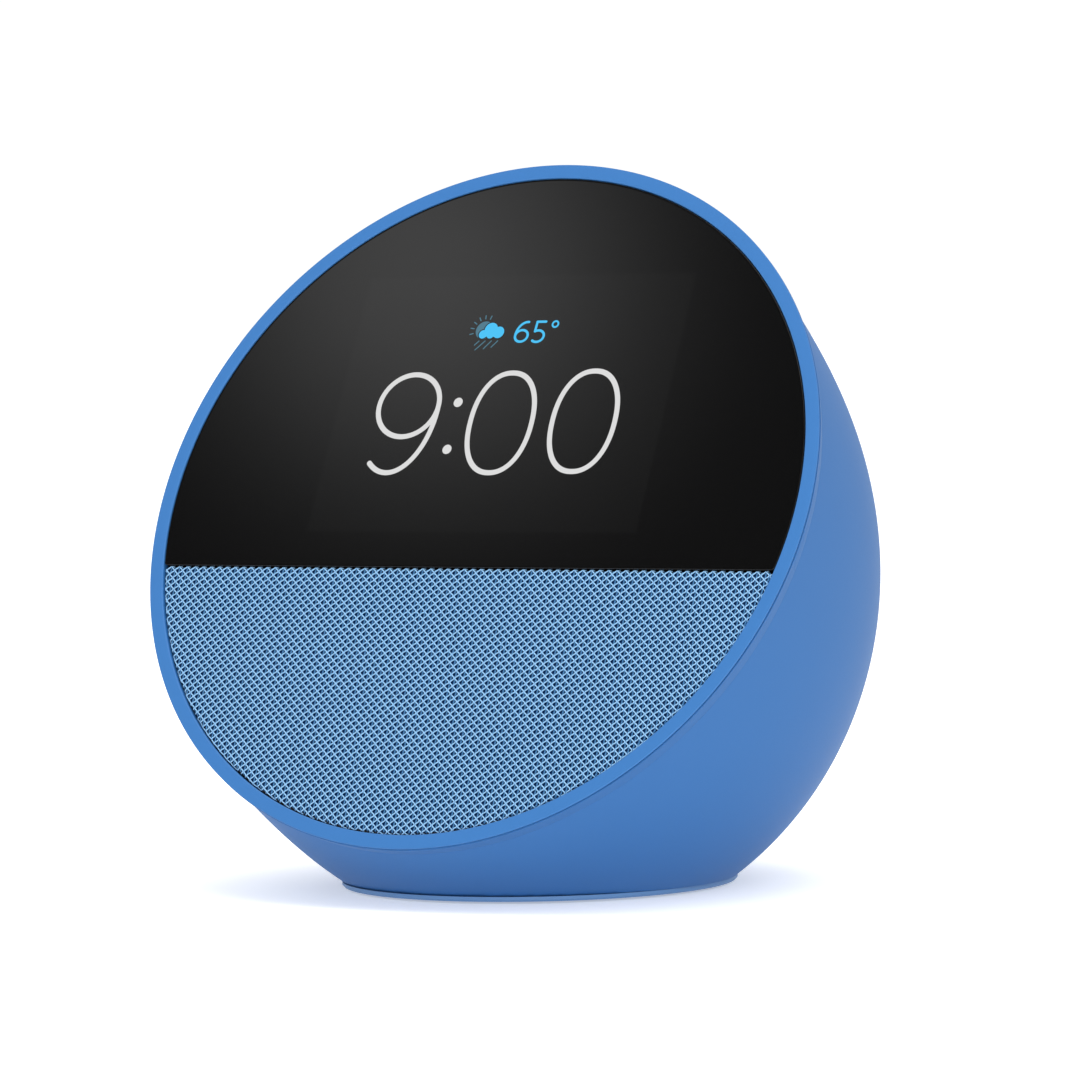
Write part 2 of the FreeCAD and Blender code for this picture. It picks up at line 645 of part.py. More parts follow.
# Screws: radius and height of the head, radius and length of the shank.
CASE_SCREW = ("2.05", "1.2", "1.05", "11")
EAR_SCREW = ("1.9", "1.2", "0.95", "2.4")
BOARD_SCREW = ("1.9", "1.3", "0.95", "6.5")
KEY_SCREW = ("1.8", "1.1", "0.85", "3.6")
BASE_SCREW = ("2.0", "1.1", "1.05", "6.4")
INLET_SCREW = ("0.95", "1.0", "0.75", "3.0")
BACKWARD = Placement(Vector(), Rotation(Vector(1, 0, 0), 180))
group("chassis_screws", [
    screw(moved(FACE, *tie, "dim.deck - dim.tie_sink + 0.05"), *CASE_SCREW) for tie in TIES])

# ---------------------------------------------------------------- loudspeaker

basket = new_body("speaker_basket", SPEAKER)
turn(basket, [
    ("dim.cone_rad + 2.7", "dim.spk_front"),
    ("dim.spk_rad", "dim.spk_front"),
    ("dim.spk_rad", "dim.spk_front - dim.spk_flange"),
    ("dim.cone_rad + 3.2", "dim.spk_front - dim.spk_flange"),
    ("dim.magnet_rad + 2.0", "-10.6"),
    ("dim.magnet_rad + 2.0", "dim.top_plate_top"),
    ("dim.coil_rad + 1.3", "dim.top_plate_top"),
    ("dim.coil_rad + 1.3", "dim.top_plate_top + 0.8"),
    ("dim.magnet_rad + 1.2", "dim.top_plate_top + 0.8"),
    ("dim.magnet_rad + 1.2", "dim.shelf_top - 0.6"),
    ("dim.magnet_rad - 0.6", "dim.shelf_top - 0.6"),
    ("dim.magnet_rad - 0.6", "dim.shelf_top"),
    ("dim.magnet_rad + 1.2", "dim.shelf_top"),
    ("dim.magnet_rad + 1.2", "-10.4"),
    ("dim.cone_rad + 2.7", "dim.spk_front - 1.3"),
])
EAR_SPOTS = [(f"{sx}*dim.spk_ear*0.70711", f"{sy}*dim.spk_ear*0.70711")
             for sx in (1, -1) for sy in (1, -1)]
FLANGE_BACK = "dim.spk_front - dim.spk_flange"
extrude(basket, [("disc", *spot, "dim.ear_rad") for spot in EAR_SPOTS], FLANGE_BACK, "dim.spk_front")
carve(basket, [("disc", *spot, "dim.small_bore + 0.1") for spot in EAR_SPOTS],
      FLANGE_BACK, "dim.spk_front")
part(basket, "speaker_basket")

turned("speaker_gasket", SPEAKER, [
    ("dim.cone_rad + 3.0", f"{DECK_BACK}"), ("dim.spk_rad - 0.3", f"{DECK_BACK}"),
    ("dim.spk_rad - 0.3", "dim.spk_front"), ("dim.cone_rad + 3.0", "dim.spk_front"),
])
turned("speaker_top_plate", SPEAKER, [
    ("dim.coil_rad + 0.8", "dim.top_plate_top"), ("dim.magnet_rad - 0.8", "dim.top_plate_top"),
    ("dim.magnet_rad - 0.8", "dim.magnet_top"), ("dim.coil_rad + 0.8", "dim.magnet_top"),
])
turned("speaker_magnet", SPEAKER, [
    ("dim.coil_rad + 1.8", "dim.magnet_top"), ("dim.magnet_rad - 0.3", "dim.magnet_top"),
    ("dim.magnet_rad", "dim.magnet_top - 0.3"), ("dim.magnet_rad", "dim.magnet_low + 0.3"),
    ("dim.magnet_rad - 0.3", "dim.magnet_low"), ("dim.coil_rad + 1.8", "dim.magnet_low"),
])
turned("speaker_yoke", SPEAKER, [
    ("0", "dim.pole_top"), ("dim.coil_rad - 0.7", "dim.pole_top"),
    ("dim.coil_rad - 0.4", "dim.pole_top - 0.3"), ("dim.coil_rad - 0.4", "dim.magnet_low"),
    ("dim.magnet_rad - 0.6", "dim.magnet_low"), ("dim.magnet_rad - 0.9", "dim.yoke_low"),
    ("0", "dim.yoke_low"),
])
turned("voice_coil", SPEAKER, [
    ("dim.coil_rad", "dim.coil_top"), ("dim.coil_rad + 0.2", "dim.coil_top"),
    ("dim.coil_rad + 0.2", "dim.coil_wind"), ("dim.coil_rad + 0.45", "dim.coil_wind"),
    ("dim.coil_rad + 0.45", "dim.coil_low"), ("dim.coil_rad", "dim.coil_low"),
])
turned("speaker_cone", SPEAKER, [
    ("dim.coil_rad + 0.25", "dim.coil_top - 0.1"), ("dim.coil_rad + 0.25", "dim.cone_low"),
    ("dim.coil_rad + 0.9", "dim.cone_low"), ("10.2", "-8.0"),
    ("dim.cone_rad", "dim.cone_high - 0.45"), ("dim.cone_rad", "dim.cone_high"),
    ("10.0", "-7.5"), ("dim.coil_rad + 0.7", "dim.coil_top - 0.1"),
])
turned("dust_cap", SPEAKER, [
    ("0", "-6.9"), ("3.4", "-7.4"), ("6.2", "-8.9"), ("6.6", "-9.15"), ("6.2", "-9.3"),
    ("3.2", "-7.85"), ("0", "-7.35"),
])

CREST, ROLL = "-3.9", "dim.cone_high"
turned("cone_surround", SPEAKER, [
    ("dim.cone_rad - 0.6", "-4.82"), ("dim.cone_rad + 0.1", "-4.45"),
    ("dim.cone_rad + 0.7", "-3.95"), ("dim.cone_rad + 1.3", CREST),
    ("dim.cone_rad + 1.9", "-3.95"), ("dim.cone_rad + 2.5", "-4.5"),
    ("dim.cone_rad + 2.65", "-4.5"), ("dim.cone_rad + 2.65", ROLL),
    ("dim.cone_rad + 2.3", ROLL), ("dim.cone_rad + 1.7", "-4.3"),
    ("dim.cone_rad + 1.3", "-4.22"), ("dim.cone_rad + 0.9", "-4.3"),
    ("dim.cone_rad + 0.3", "-4.75"), ("dim.cone_rad + 0.05", "-4.84"),
    ("dim.cone_rad - 0.2", "-4.88"),
])
turned("speaker_spider", SPEAKER, [
    ("dim.coil_rad + 0.3", "-11.6"), ("6.9", "-11.3"), ("8.4", "-11.7"), ("9.9", "-11.3"),
    ("dim.magnet_rad + 0.9", "-11.6"), ("dim.magnet_rad + 0.9", "-11.75"),
    ("9.9", "-11.5"), ("8.4", "-11.9"), ("6.9", "-11.5"), ("dim.coil_rad + 0.3", "-11.8"),
])
group("speaker_screws", [
    screw(moved(FACE, *ear, FLANGE_BACK) * BACKWARD, *EAR_SCREW) for ear in EARS])
plate("speaker_terminals", SPEAKER, [("box", x, "17.8", x + 2.4, "19.4") for x in (-4.2, 1.8)],
      f"{FLANGE_BACK} - 1.2", FLANGE_BACK)

# ---------------------------------------------------------------- boards

BOARD_BACK = "dim.board_z - dim.board_thick"
board = new_body("main_board", FACE)
extrude(board, [("box", "-dim.board_half", "dim.board_low", "dim.board_half", "dim.board_high")],
        BOARD_BACK, "dim.board_z")
carve(board, [("disc", *post, "dim.small_pass") for post in POSTS], BOARD_BACK, "dim.board_z")
part(board, "main_board")

shield = new_body("shield_can", FACE)
CAN_BACK = f"{BOARD_BACK} - dim.can_deep"
extrude(shield, [("box", "-dim.can_x", "dim.can_low", "dim.can_x", "dim.can_high")],
        CAN_BACK, BOARD_BACK)
carve(shield, [("box", "-dim.can_x + dim.can_wall", "dim.can_low + dim.can_wall",
                "dim.can_x - dim.can_wall", "dim.can_high - dim.can_wall")],
      f"{CAN_BACK} + dim.can_wall", BOARD_BACK)
part(shield, "shield_can")
plate("processor", FACE, [("box", -7, 6.5, 7, 20.5)], f"{BOARD_BACK} - 1.3", BOARD_BACK)
plate("memory_chips", FACE, [("box", 8.6, 7, 15.6, 19), ("box", -15.6, 7, -8.6, 19)],
      f"{BOARD_BACK} - 1.0", BOARD_BACK)
plate("thermal_pad", FACE, [("box", -12, 3, 12, 24)], f"{BOARD_BACK} - dim.spread_rise", CAN_BACK)

spreader = new_body("heat_spreader", FACE)
HAT_FOOT, HAT_IN, HAT_OUT = 30.6, 23.6, 24.8
HAT = [(-HAT_FOOT, "0"), (-HAT_IN, "0"), (-HAT_IN, "-dim.spread_rise"), (HAT_IN, "-dim.spread_rise"),
       (HAT_IN, "0"), (HAT_FOOT, "0"), (HAT_FOOT, "-dim.spread_thick"),
       (HAT_OUT, "-dim.spread_thick"), (HAT_OUT, "-dim.spread_rise - dim.spread_thick"),
       (-HAT_OUT, "-dim.spread_rise - dim.spread_thick"), (-HAT_OUT, "-dim.spread_thick"),
       (-HAT_FOOT, "-dim.spread_thick")]
extrude(spreader, [("poly", [(x, f"{BOARD_BACK} + ({z})") for x, z in HAT])],
        "-32.5", "6.5", "XZ_Plane")
carve(spreader, [("disc", *post, "dim.small_pass") for post in POSTS],
      f"{BOARD_BACK} - dim.spread_thick", BOARD_BACK)
part(spreader, "heat_spreader")
group("board_screws", [
    screw(moved(FACE, *post, f"{BOARD_BACK} - dim.spread_thick") * BACKWARD, *BOARD_SCREW)
    for post in POSTS])

plate("board_connectors", FACE, [
    ("box", -9.6, -6.2, 9.6, -2.4),
    ("box", -20, -6.4, -13.4, -2.6),
    ("box", 13.4, -6.4, 20, -2.6),
    ("box", -7, 28.6, 7, 32.4),
], "dim.board_z", "dim.board_z + 2.0")
plate("power_coils", FACE, [
    ("box", 12, 4, 18, 10), ("box", 12, 12, 18, 18), ("disc", -14, 10, 2.6), ("disc", -14, 17, 2.6),
], "dim.board_z", "dim.board_z + 3.6")
plate("radio_module", FACE, [("box", -6, 6, 6, 20)], "dim.board_z", "dim.board_z + 2.2")
plate("aerials", FACE, [("box", 34, -2, 40.5, 22), ("box", -40.5, -2, -34, 22)],
      f"{DECK_BACK} - 0.6", DECK_BACK)

# Flexible circuits: thin strips that run from their piece to the board's sockets.
FLEX_LOW = "dim.lcd_low + 1.2"
lcd_flex = new_body("lcd_flex", FACE)
flex_side = [
    (FLEX_LOW, f"{TRAY_FLOOR} + 0.05"), (FLEX_LOW, f"{TRAY_BACK} - 1.6"),
    ("-6.4", "-9.6"), ("-5.6", "dim.board_z + 2.0"),
    ("-5.4", "dim.board_z + 2.0"), ("-6.15", "-9.4"),
    (f"{FLEX_LOW} + 0.2", f"{TRAY_BACK} - 1.5"), (f"{FLEX_LOW} + 0.2", f"{TRAY_FLOOR} + 0.05"),
]
extrude(lcd_flex, [("poly", flex_side)], -FLEX_HALF, FLEX_HALF, "YZ_Plane")
part(lcd_flex, "lcd_flex")


def on_disc(points):
    """Points given in the frame of the front's disc, as points of the whole object."""
    return [FACE.multVec(Vector(*point)) for point in points]


SPEAKER_LEADS = [
    [(-3.0, -13.0, -5.85), (-3.2, -12.9, -9.0), (-8.5, -11.8, -12.2), (-15.2, -10.4, -13.0),
     (-15.9, -6.5, -13.0)],
    [(3.0, -13.0, -5.85), (2.6, -13.2, -9.4), (-6.5, -13.8, -13.0), (-16.6, -12.4, -13.6),
     (-17.6, -6.5, -13.0)],
]
INLET_LEADS = [
    [(1.5, -24.0, -58.5), (1.8, -20.6, -56.6), (4.6, -18.6, -47.0), (9.6, -16.4, -35.0),
     (14.4, -14.0, -23.5), (17.2, -11.2, -15.6), (17.8, -6.75, -13.0)],
    [(-1.5, -24.0, -58.5), (-1.2, -20.6, -56.6), (1.6, -18.6, -47.0), (6.9, -16.4, -35.0),
     (12.0, -14.0, -23.5), (15.2, -11.2, -15.6), (15.9, -6.75, -13.0)],
]
wires("speaker_wires", [on_disc(lead) for lead in SPEAKER_LEADS], 0.5)
wires("inlet_wires", [on_disc(lead) for lead in INLET_LEADS], 0.6)

key_flex = new_body("button_flex", FACE)
extrude(key_flex, [("poly", [
    (42.75, -10.95), (38.2, -10.3), (34.4, -12.7), (32.4, -12.8), (32.4, -13.0),
    (34.45, -12.9), (38.25, -10.5), (42.7, -11.15)])], -5, 5, "YZ_Plane")
part(key_flex, "button_flex")

# ---------------------------------------------------------------- buttons

KEY_BOARD_LOW = "dim.key_board - dim.board_thick + 0.2"
plunger_low = "dim.key_board + 1.1"
key_board = new_body("button_board", KEYS)
extrude(key_board, [("box", "-dim.key_tie - 2.6", "-dim.key_board_half", "dim.key_tie + 2.6",
                     "dim.key_board_half")], KEY_BOARD_LOW, "dim.key_board")
carve(key_board, [("disc", x, "0", "1.1") for x in KEY_TIES], KEY_BOARD_LOW, "dim.key_board")
part(key_board, "button_board")

tacts = new_body("tact_switches", KEYS)
KEY_SPOTS = [f"{i}*dim.key_pitch" for i in (-1, 0, 1)]
extrude(tacts, [("box", f"{x} - dim.tact_side/2", "-dim.tact_side/2", f"{x} + dim.tact_side/2",
                 "dim.tact_side/2") for x in KEY_SPOTS],
        "dim.key_board", "dim.key_board + dim.tact_high")
carve(tacts, [("disc", x, "0", "dim.plunger_rad + 0.15") for x in KEY_SPOTS],
      "dim.key_board + 0.3", "dim.key_board + dim.tact_high")
part(tacts, "tact_switches")

proud_form = shell_solid(num("dim.key_proud"), "proud_form")
lip_form = shell_solid(-num("dim.wall") - 0.45, "lip_form")
under_form = shell_solid(-num("dim.wall") - 1.3, "under_form")
for name, spot in zip(("volume_down", "mic_mute", "volume_up"), KEY_SPOTS):
    place = moved(KEYS, spot, "0")
    cap = less(shared(rod(place, "dim.key_rad", "-9", "6"), proud_form), under_form)
    flange = less(shared(rod(place, "dim.key_flange", "-9", "6"), lip_form), under_form)
    stem = rod(place, "1.5", "dim.plunger_top", "-3")
    part(fused(cap, flange, stem), f"{name}_button")
    plunger = new_body(f"{name}_plunger", place)
    turn(plunger, [("0", "dim.plunger_top"), ("dim.plunger_rad - 0.3", "dim.plunger_top"),
                   ("dim.plunger_rad", "dim.plunger_top - 0.3"), ("dim.plunger_rad", plunger_low),
                   ("0", plunger_low)])
    part(plunger, f"{name}_plunger")

plate("microphones", KEYS, [("box", f"{side}*dim.mic_x - dim.mic_half", -1.3,
                             f"{side}*dim.mic_x + dim.mic_half", 1.3) for side in (-1, 1)],
      f"{KEY_BOARD_LOW} - 1.0", KEY_BOARD_LOW)
boots = []
for side in (-1, 1):
    boot = rod(moved(KEYS, f"{side}*dim.mic_x", "0"), "dim.boot_rad", "dim.key_board", "-1")
    bore = rod(moved(KEYS, f"{side}*dim.mic_x", "0"), "dim.mic_bore", "dim.key_board - 1", "2")
    boots.append(less(shared(boot, inner_form), bore))
group("mic_boots", boots)
group("button_board_screws", [
    screw(moved(KEYS, x, "0", KEY_BOARD_LOW) * BACKWARD, *KEY_SCREW) for x in KEY_TIES])

# ---------------------------------------------------------------- foot

base = new_body("base_plate", FOOT)
turn(base, [
    ("0", "dim.plate_low"), ("dim.foot_rad - 0.3", "dim.plate_low"),
    ("dim.foot_rad", "dim.plate_low + 0.3"), ("dim.foot_rad", "dim.shell_low - 0.05"),
    ("dim.plug_rad", "dim.shell_low - 0.05"), ("dim.plug_rad", "dim.plug_top"),
    ("0", "dim.plug_top"),
])
carve(base, [("disc", "0", "0", "dim.pad_out + 0.1"), ("disc", "0", "0", "dim.pad_in - 0.1")],
      "dim.plate_low", "dim.pad_top")
BASE_SPOTS = [(f"dim.base_tie * {math.cos(math.radians(a)):.6f}",
               f"dim.base_tie * {math.sin(math.radians(a)):.6f}") for a in BASE_ANGLES]
carve(base, [("disc", *spot, "2.2") for spot in BASE_SPOTS], "dim.pad_top", "2.15")
carve(base, [("disc", *spot, "dim.pass_bore") for spot in BASE_SPOTS], "2.1", "dim.plug_top")
part(base, "base_plate")

turned("rubber_foot", FOOT, [
    ("dim.pad_in", "0.25"), ("dim.pad_in + 0.25", "0"), ("dim.pad_out - 0.25", "0"),
    ("dim.pad_out", "0.25"), ("dim.pad_out", "dim.pad_top"), ("dim.pad_in", "dim.pad_top"),
])
turned("base_weight", FOOT, [
    ("3", "dim.plug_top"), ("dim.weight_rad", "dim.plug_top"),
    ("dim.weight_rad", "dim.plug_top + dim.weight_high - 0.4"),
    ("dim.weight_rad - 0.4", "dim.plug_top + dim.weight_high"),
    ("3", "dim.plug_top + dim.weight_high"),
])
group("base_screws", [
    screw(moved(WORLD, spot[0], f"dim.foot_y + {spot[1]}", "2.1") * BACKWARD,
          *BASE_SCREW) for spot in BASE_SPOTS])

# ---------------------------------------------------------------- power inlet

inlet = new_body("power_inlet", JACK)
extrude(inlet, [("disc", "0", "0", "dim.jack_nose")], "-dim.jack_long", "0")
extrude(inlet, [("box", "-dim.jack_half", "-dim.jack_half", "dim.jack_half", "dim.jack_half")],
        "-dim.jack_long", "dim.jack_neck")
carve(inlet, [("disc", "0", "0", "dim.jack_bore")], "-dim.jack_deep", "0")
carve(inlet, [("disc", "0", "0", "dim.jack_pin")], "-dim.jack_long", "-dim.jack_deep")
part(inlet, "power_inlet")
turned("inlet_pin", JACK, [
    ("0", "-1.6"), ("dim.jack_pin - 0.4", "-1.6"), ("dim.jack_pin - 0.05", "-2.2"),
    ("dim.jack_pin - 0.05", "-dim.jack_long"), ("0", "-dim.jack_long"),
])
inlet_board = new_body("inlet_board", moved(WORLD, "0", JACK_BOARD_MID))
extrude(inlet_board, [("box", -8, -7.5, 8, 3)], JACK_BOARD_LOW,
        f"{JACK_BOARD_LOW} + dim.board_thick")
carve(inlet_board, [("disc", x, "0", "1.1") for x in JACK_FEET], JACK_BOARD_LOW,
      f"{JACK_BOARD_LOW} + dim.board_thick")
part(inlet_board, "inlet_board")
group("inlet_screws", [
    screw(moved(WORLD, x, JACK_BOARD_MID, f"{JACK_BOARD_LOW} + dim.board_thick"),
          *INLET_SCREW) for x in JACK_FEET])

# ---------------------------------------------------------------- write

doc.recompute()
for thing in doc.Objects:
    if {"Invalid", "Error"} & set(thing.State):
        raise RuntimeError(f"{thing.Label} failed: {thing.State}")
os.makedirs("parts", exist_ok=True)
for node in NODES:
    if node.Shape.isNull() or not node.Shape.isValid():
        raise RuntimeError(f"{node.Label} has no valid shape")
    node.Shape.exportStep(f"parts/{node.Label}.step")
print(len(NODES), "nodes written")
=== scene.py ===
import json
import bpy
import numpy as np
from mathutils import Matrix


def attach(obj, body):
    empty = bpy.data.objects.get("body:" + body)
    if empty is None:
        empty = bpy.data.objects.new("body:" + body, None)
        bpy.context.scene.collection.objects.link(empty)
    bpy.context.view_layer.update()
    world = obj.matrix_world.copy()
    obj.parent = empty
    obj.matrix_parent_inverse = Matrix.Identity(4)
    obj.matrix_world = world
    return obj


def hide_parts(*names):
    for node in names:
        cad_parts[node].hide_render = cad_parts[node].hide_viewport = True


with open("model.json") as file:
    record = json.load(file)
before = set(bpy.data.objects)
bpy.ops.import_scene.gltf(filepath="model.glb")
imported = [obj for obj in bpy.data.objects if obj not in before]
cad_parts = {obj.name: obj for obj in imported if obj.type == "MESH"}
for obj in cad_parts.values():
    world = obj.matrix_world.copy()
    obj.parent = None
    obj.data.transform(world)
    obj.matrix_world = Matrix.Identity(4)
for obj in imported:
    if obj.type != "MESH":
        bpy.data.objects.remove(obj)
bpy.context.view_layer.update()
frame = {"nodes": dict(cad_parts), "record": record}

NODES = frame["nodes"]
MM = 0.001

# ---------------------------------------------------------------- the leaning front
# The round front leans back. Everything on it is placed by distances across it, up it
# and out of it, from the middle of its front plane.
FRONT_MIDDLE = np.array((0.0, -19.4, 59.5)) * MM
FRONT_LEAN = np.radians(27.8)
ACROSS = np.array((1.0, 0.0, 0.0))
UP_FRONT = np.array((0.0, np.sin(FRONT_LEAN), np.cos(FRONT_LEAN)))
OUT_FRONT = np.array((0.0, -np.cos(FRONT_LEAN), np.sin(FRONT_LEAN)))


def on_front(across, up, out):
    """Millimetres across, up and out of the front, as points in the room, in metres."""
    across, up, out = np.broadcast_arrays(across, up, out)
    return FRONT_MIDDLE + MM * (across[..., None] * ACROSS + up[..., None] * UP_FRONT
                                + out[..., None] * OUT_FRONT)


# ---------------------------------------------------------------- camera
# A long lens, a little above the table and to the right of the display, slightly rolled.
SWING, RISE, ROLL = np.radians((30.52, 2.61, -1.2))
DISTANCE = 0.899465
OFF_RIGHT, OFF_UP = -0.009585, 0.006146

right = np.array((np.cos(SWING), np.sin(SWING), 0.0))
ahead = np.array((-np.sin(SWING) * np.cos(RISE), np.cos(SWING) * np.cos(RISE), -np.sin(RISE)))
above = np.cross(right, ahead)
right, above = (np.cos(ROLL) * right + np.sin(ROLL) * above,
                np.cos(ROLL) * above - np.sin(ROLL) * right)
spot = FRONT_MIDDLE - OFF_RIGHT * right - OFF_UP * above - DISTANCE * ahead
lens = bpy.data.cameras.new("camera")
lens.lens = 200.0
lens.sensor_width = 36.0
lens.sensor_fit = "HORIZONTAL"
lens.clip_start = 0.05
camera = bpy.data.objects.new("camera", lens)
camera.matrix_world = Matrix([[*row, place] for row, place in
                              zip(np.stack((right, above, -ahead), axis=1).tolist(), spot.tolist())]
                             + [[0.0, 0.0, 0.0, 1.0]])
bpy.context.scene.collection.objects.link(camera)
bpy.context.scene.camera = camera


# ---------------------------------------------------------------- room
# A pale plain floor, faintly lit from within, under an even white sky. What the glass mirrors
# is a dark patch of that sky with one small soft glow in it.
def add_node(tree, kind, values=None, **settings):
    """One shader node. settings are its properties, and values its sockets: a number, a colour or a
    socket to link."""
    node = tree.nodes.new(kind)
    for key, value in settings.items():
        setattr(node, key, value)
    for key, value in (values or {}).items():
        if isinstance(value, bpy.types.NodeSocket):
            tree.links.new(value, node.inputs[key])
        else:
            node.inputs[key].default_value = value
    return node


SKY_WHITE = (1.03, 1.03, 1.03, 1.0)
FLAG_DARK = (0.055, 0.055, 0.055, 1.0)
FLAG_WAY, FLAG_RIM, FLAG_FULL = (-0.505, -0.505, 0.700), 0.935, 0.985
SOFTBOX_WAY, SOFTBOX_RIM = (-0.5237, -0.4801, 0.7037), 0.99624
SOFTBOX_WHITE, SOFTBOX_FALL = 1.12, 6.4

sky = bpy.data.worlds.new("studio")
sky.use_nodes = True
sky_tree = sky.node_tree
sky_tree.nodes.clear()
way = add_node(sky_tree, "ShaderNodeTexCoord").outputs["Generated"]
toward = [add_node(sky_tree, "ShaderNodeVectorMath", {0: way, 1: aim},
                   operation="DOT_PRODUCT").outputs["Value"] for aim in (FLAG_WAY, SOFTBOX_WAY)]
flagged = add_node(sky_tree, "ShaderNodeMapRange",
                   {"Value": toward[0], "From Min": FLAG_RIM, "From Max": FLAG_FULL},
                   interpolation_type="SMOOTHSTEP")
near = add_node(sky_tree, "ShaderNodeMapRange", {"Value": toward[1], "From Min": SOFTBOX_RIM})
near = add_node(sky_tree, "ShaderNodeMath", {0: near.outputs[0], 1: SOFTBOX_FALL}, operation="POWER")
dome = add_node(sky_tree, "ShaderNodeMix", {"Factor": flagged.outputs[0], 6: SKY_WHITE, 7: FLAG_DARK},
                data_type="RGBA")
glow = add_node(sky_tree, "ShaderNodeMath", {0: near.outputs[0], 1: SOFTBOX_WHITE}, operation="MULTIPLY")
both = add_node(sky_tree, "ShaderNodeVectorMath", {0: dome.outputs[2], 1: glow.outputs[0]}, operation="ADD")
back = add_node(sky_tree, "ShaderNodeBackground", {"Color": both.outputs[0], "Strength": 1.0})
add_node(sky_tree, "ShaderNodeOutputWorld", {"Surface": back.outputs[0]})
bpy.context.scene.world = sky
bpy.context.scene.view_settings.view_transform = "Standard"


def soft_light(name, at, size, watts):
    """A square softbox of that size, in metres, at a point, aimed at the middle of the display."""
    lamp = bpy.data.lights.new(name, "AREA")
    lamp.size = size
    lamp.energy = watts
    holder = bpy.data.objects.new(name, lamp)
    holder.location = at
    aim = Matrix.Translation((0.0, 0.0, 0.05)).translation - holder.location
    holder.rotation_euler = aim.to_track_quat("-Z", "Y").to_euler()
    bpy.context.scene.collection.objects.link(holder)


soft_light("light_above", (0.15, -0.1, 1.3), 0.9, 7.0)
soft_light("light_low_front", (0.55, -0.95, 0.22), 0.7, 5.0)


def principled(name, colour, roughness, **sockets):
    """A material with one Principled shader, and that shader. Further sockets are named with _ for a
    space."""
    material = bpy.data.materials.new(name)
    material.use_nodes = True
    shader = material.node_tree.nodes["Principled BSDF"]
    shader.inputs["Base Color"].default_value = (*colour, 1.0)
    shader.inputs["Roughness"].default_value = roughness
    for key, value in sockets.items():
        shader.inputs[key.replace("_", " ")].default_value = value
    return material, shader


floor_mesh = bpy.data.meshes.new("floor")
FLOOR_HALF, FLOOR_GLOW = 6.0, 0.35
floor_mesh.from_pydata([(-FLOOR_HALF, -FLOOR_HALF, 0), (FLOOR_HALF, -FLOOR_HALF, 0),
                        (FLOOR_HALF, FLOOR_HALF, 0), (-FLOOR_HALF, FLOOR_HALF, 0)], [], [(0, 1, 2, 3)])
floor = bpy.data.objects.new("floor", floor_mesh)
bpy.context.scene.collection.objects.link(floor)
floor_mesh.materials.append(principled("floor_white", (0.93, 0.93, 0.93), 0.9,
                                       Emission_Color=(1.0, 1.0, 1.0, 1.0), Emission_Strength=FLOOR_GLOW)[0])


# ---------------------------------------------------------------- moulded finish
# The grain that a moulding takes from its tool: a fine bump, a slight mottle of the colour
# and a little change of gloss. Every moulded, cast or printed piece has it at its own scale.
def new_group(name, inputs, outputs):
    """A shader node group with those sockets, as (name, type, value) and (name, type)."""
    tree = bpy.data.node_groups.new(name, "ShaderNodeTree")
    for label, kind, value in inputs:
        socket = tree.interface.new_socket(label, in_out="INPUT", socket_type="NodeSocket" + kind)
        socket.default_value = value
    for label, kind in outputs:
        tree.interface.new_socket(label, in_out="OUTPUT", socket_type="NodeSocket" + kind)
    return tree, tree.nodes.new("NodeGroupInput").outputs, tree.nodes.new("NodeGroupOutput").inputs


grain, given, made = new_group(
    "moulded_grain",
    [("Color", "Color", (0.5, 0.5, 0.5, 1.0)), ("Roughness", "Float", 0.5),
     ("Scale", "Float", 4000.0), ("Depth", "Float", 0.1), ("Mottle", "Float", 0.06)],
    [("Color", "Color"), ("Roughness", "Float"), ("Normal", "Vector")])
place = add_node(grain, "ShaderNodeTexCoord").outputs["Object"]
fine = add_node(grain, "ShaderNodeTexNoise",
                {"Vector": place, "Scale": given["Scale"], "Detail": 2.0, "Roughness": 0.6})
cloudy = add_node(grain, "ShaderNodeTexNoise", {"Vector": place, "Scale": 60.0, "Detail": 3.0})
swing = add_node(grain, "ShaderNodeMath", {0: cloudy.outputs["Fac"], 1: 0.5}, operation="SUBTRACT")
swing = add_node(grain, "ShaderNodeMath", {0: swing.outputs[0], 1: given["Mottle"]}, operation="MULTIPLY")
level = add_node(grain, "ShaderNodeMath", {0: swing.outputs[0], 1: 1.0}, operation="ADD")
tint = add_node(grain, "ShaderNodeVectorMath", {0: given["Color"], "Scale": level.outputs[0]},
                operation="SCALE")
grain.links.new(tint.outputs[0], made["Color"])
rougher = add_node(grain, "ShaderNodeMath", {0: fine.outputs["Fac"], 1: -0.5}, operation="ADD")
rougher = add_node(grain, "ShaderNodeMath",
                   {0: rougher.outputs[0], 1: 0.12, 2: given["Roughness"]}, operation="MULTIPLY_ADD")
grain.links.new(rougher.outputs[0], made["Roughness"])
bump = add_node(grain, "ShaderNodeBump",
                {"Height": fine.outputs["Fac"], "Strength": given["Depth"], "Distance": 0.0001})
grain.links.new(bump.outputs[0], made["Normal"])


def moulded(name, colour, roughness, scale=4000.0, depth=0.1, mottle=0.06, **sockets):
    """A material in one colour with the moulded grain; further sockets go on the shader."""
    material, shader = principled(name, colour, roughness, **sockets)
    tree = material.node_tree
    finish = add_node(tree, "ShaderNodeGroup",
                      node_tree=grain)
    for key, value in (("Color", (*colour, 1.0)), ("Roughness", roughness), ("Scale", scale),
                       ("Depth", depth), ("Mottle", mottle)):
        finish.inputs[key].default_value = value
    tree.links.new(finish.outputs["Color"], shader.inputs["Base Color"])
    tree.links.new(finish.outputs["Roughness"], shader.inputs["Roughness"])
    tree.links.new(finish.outputs["Normal"], shader.inputs["Normal"])
    return material


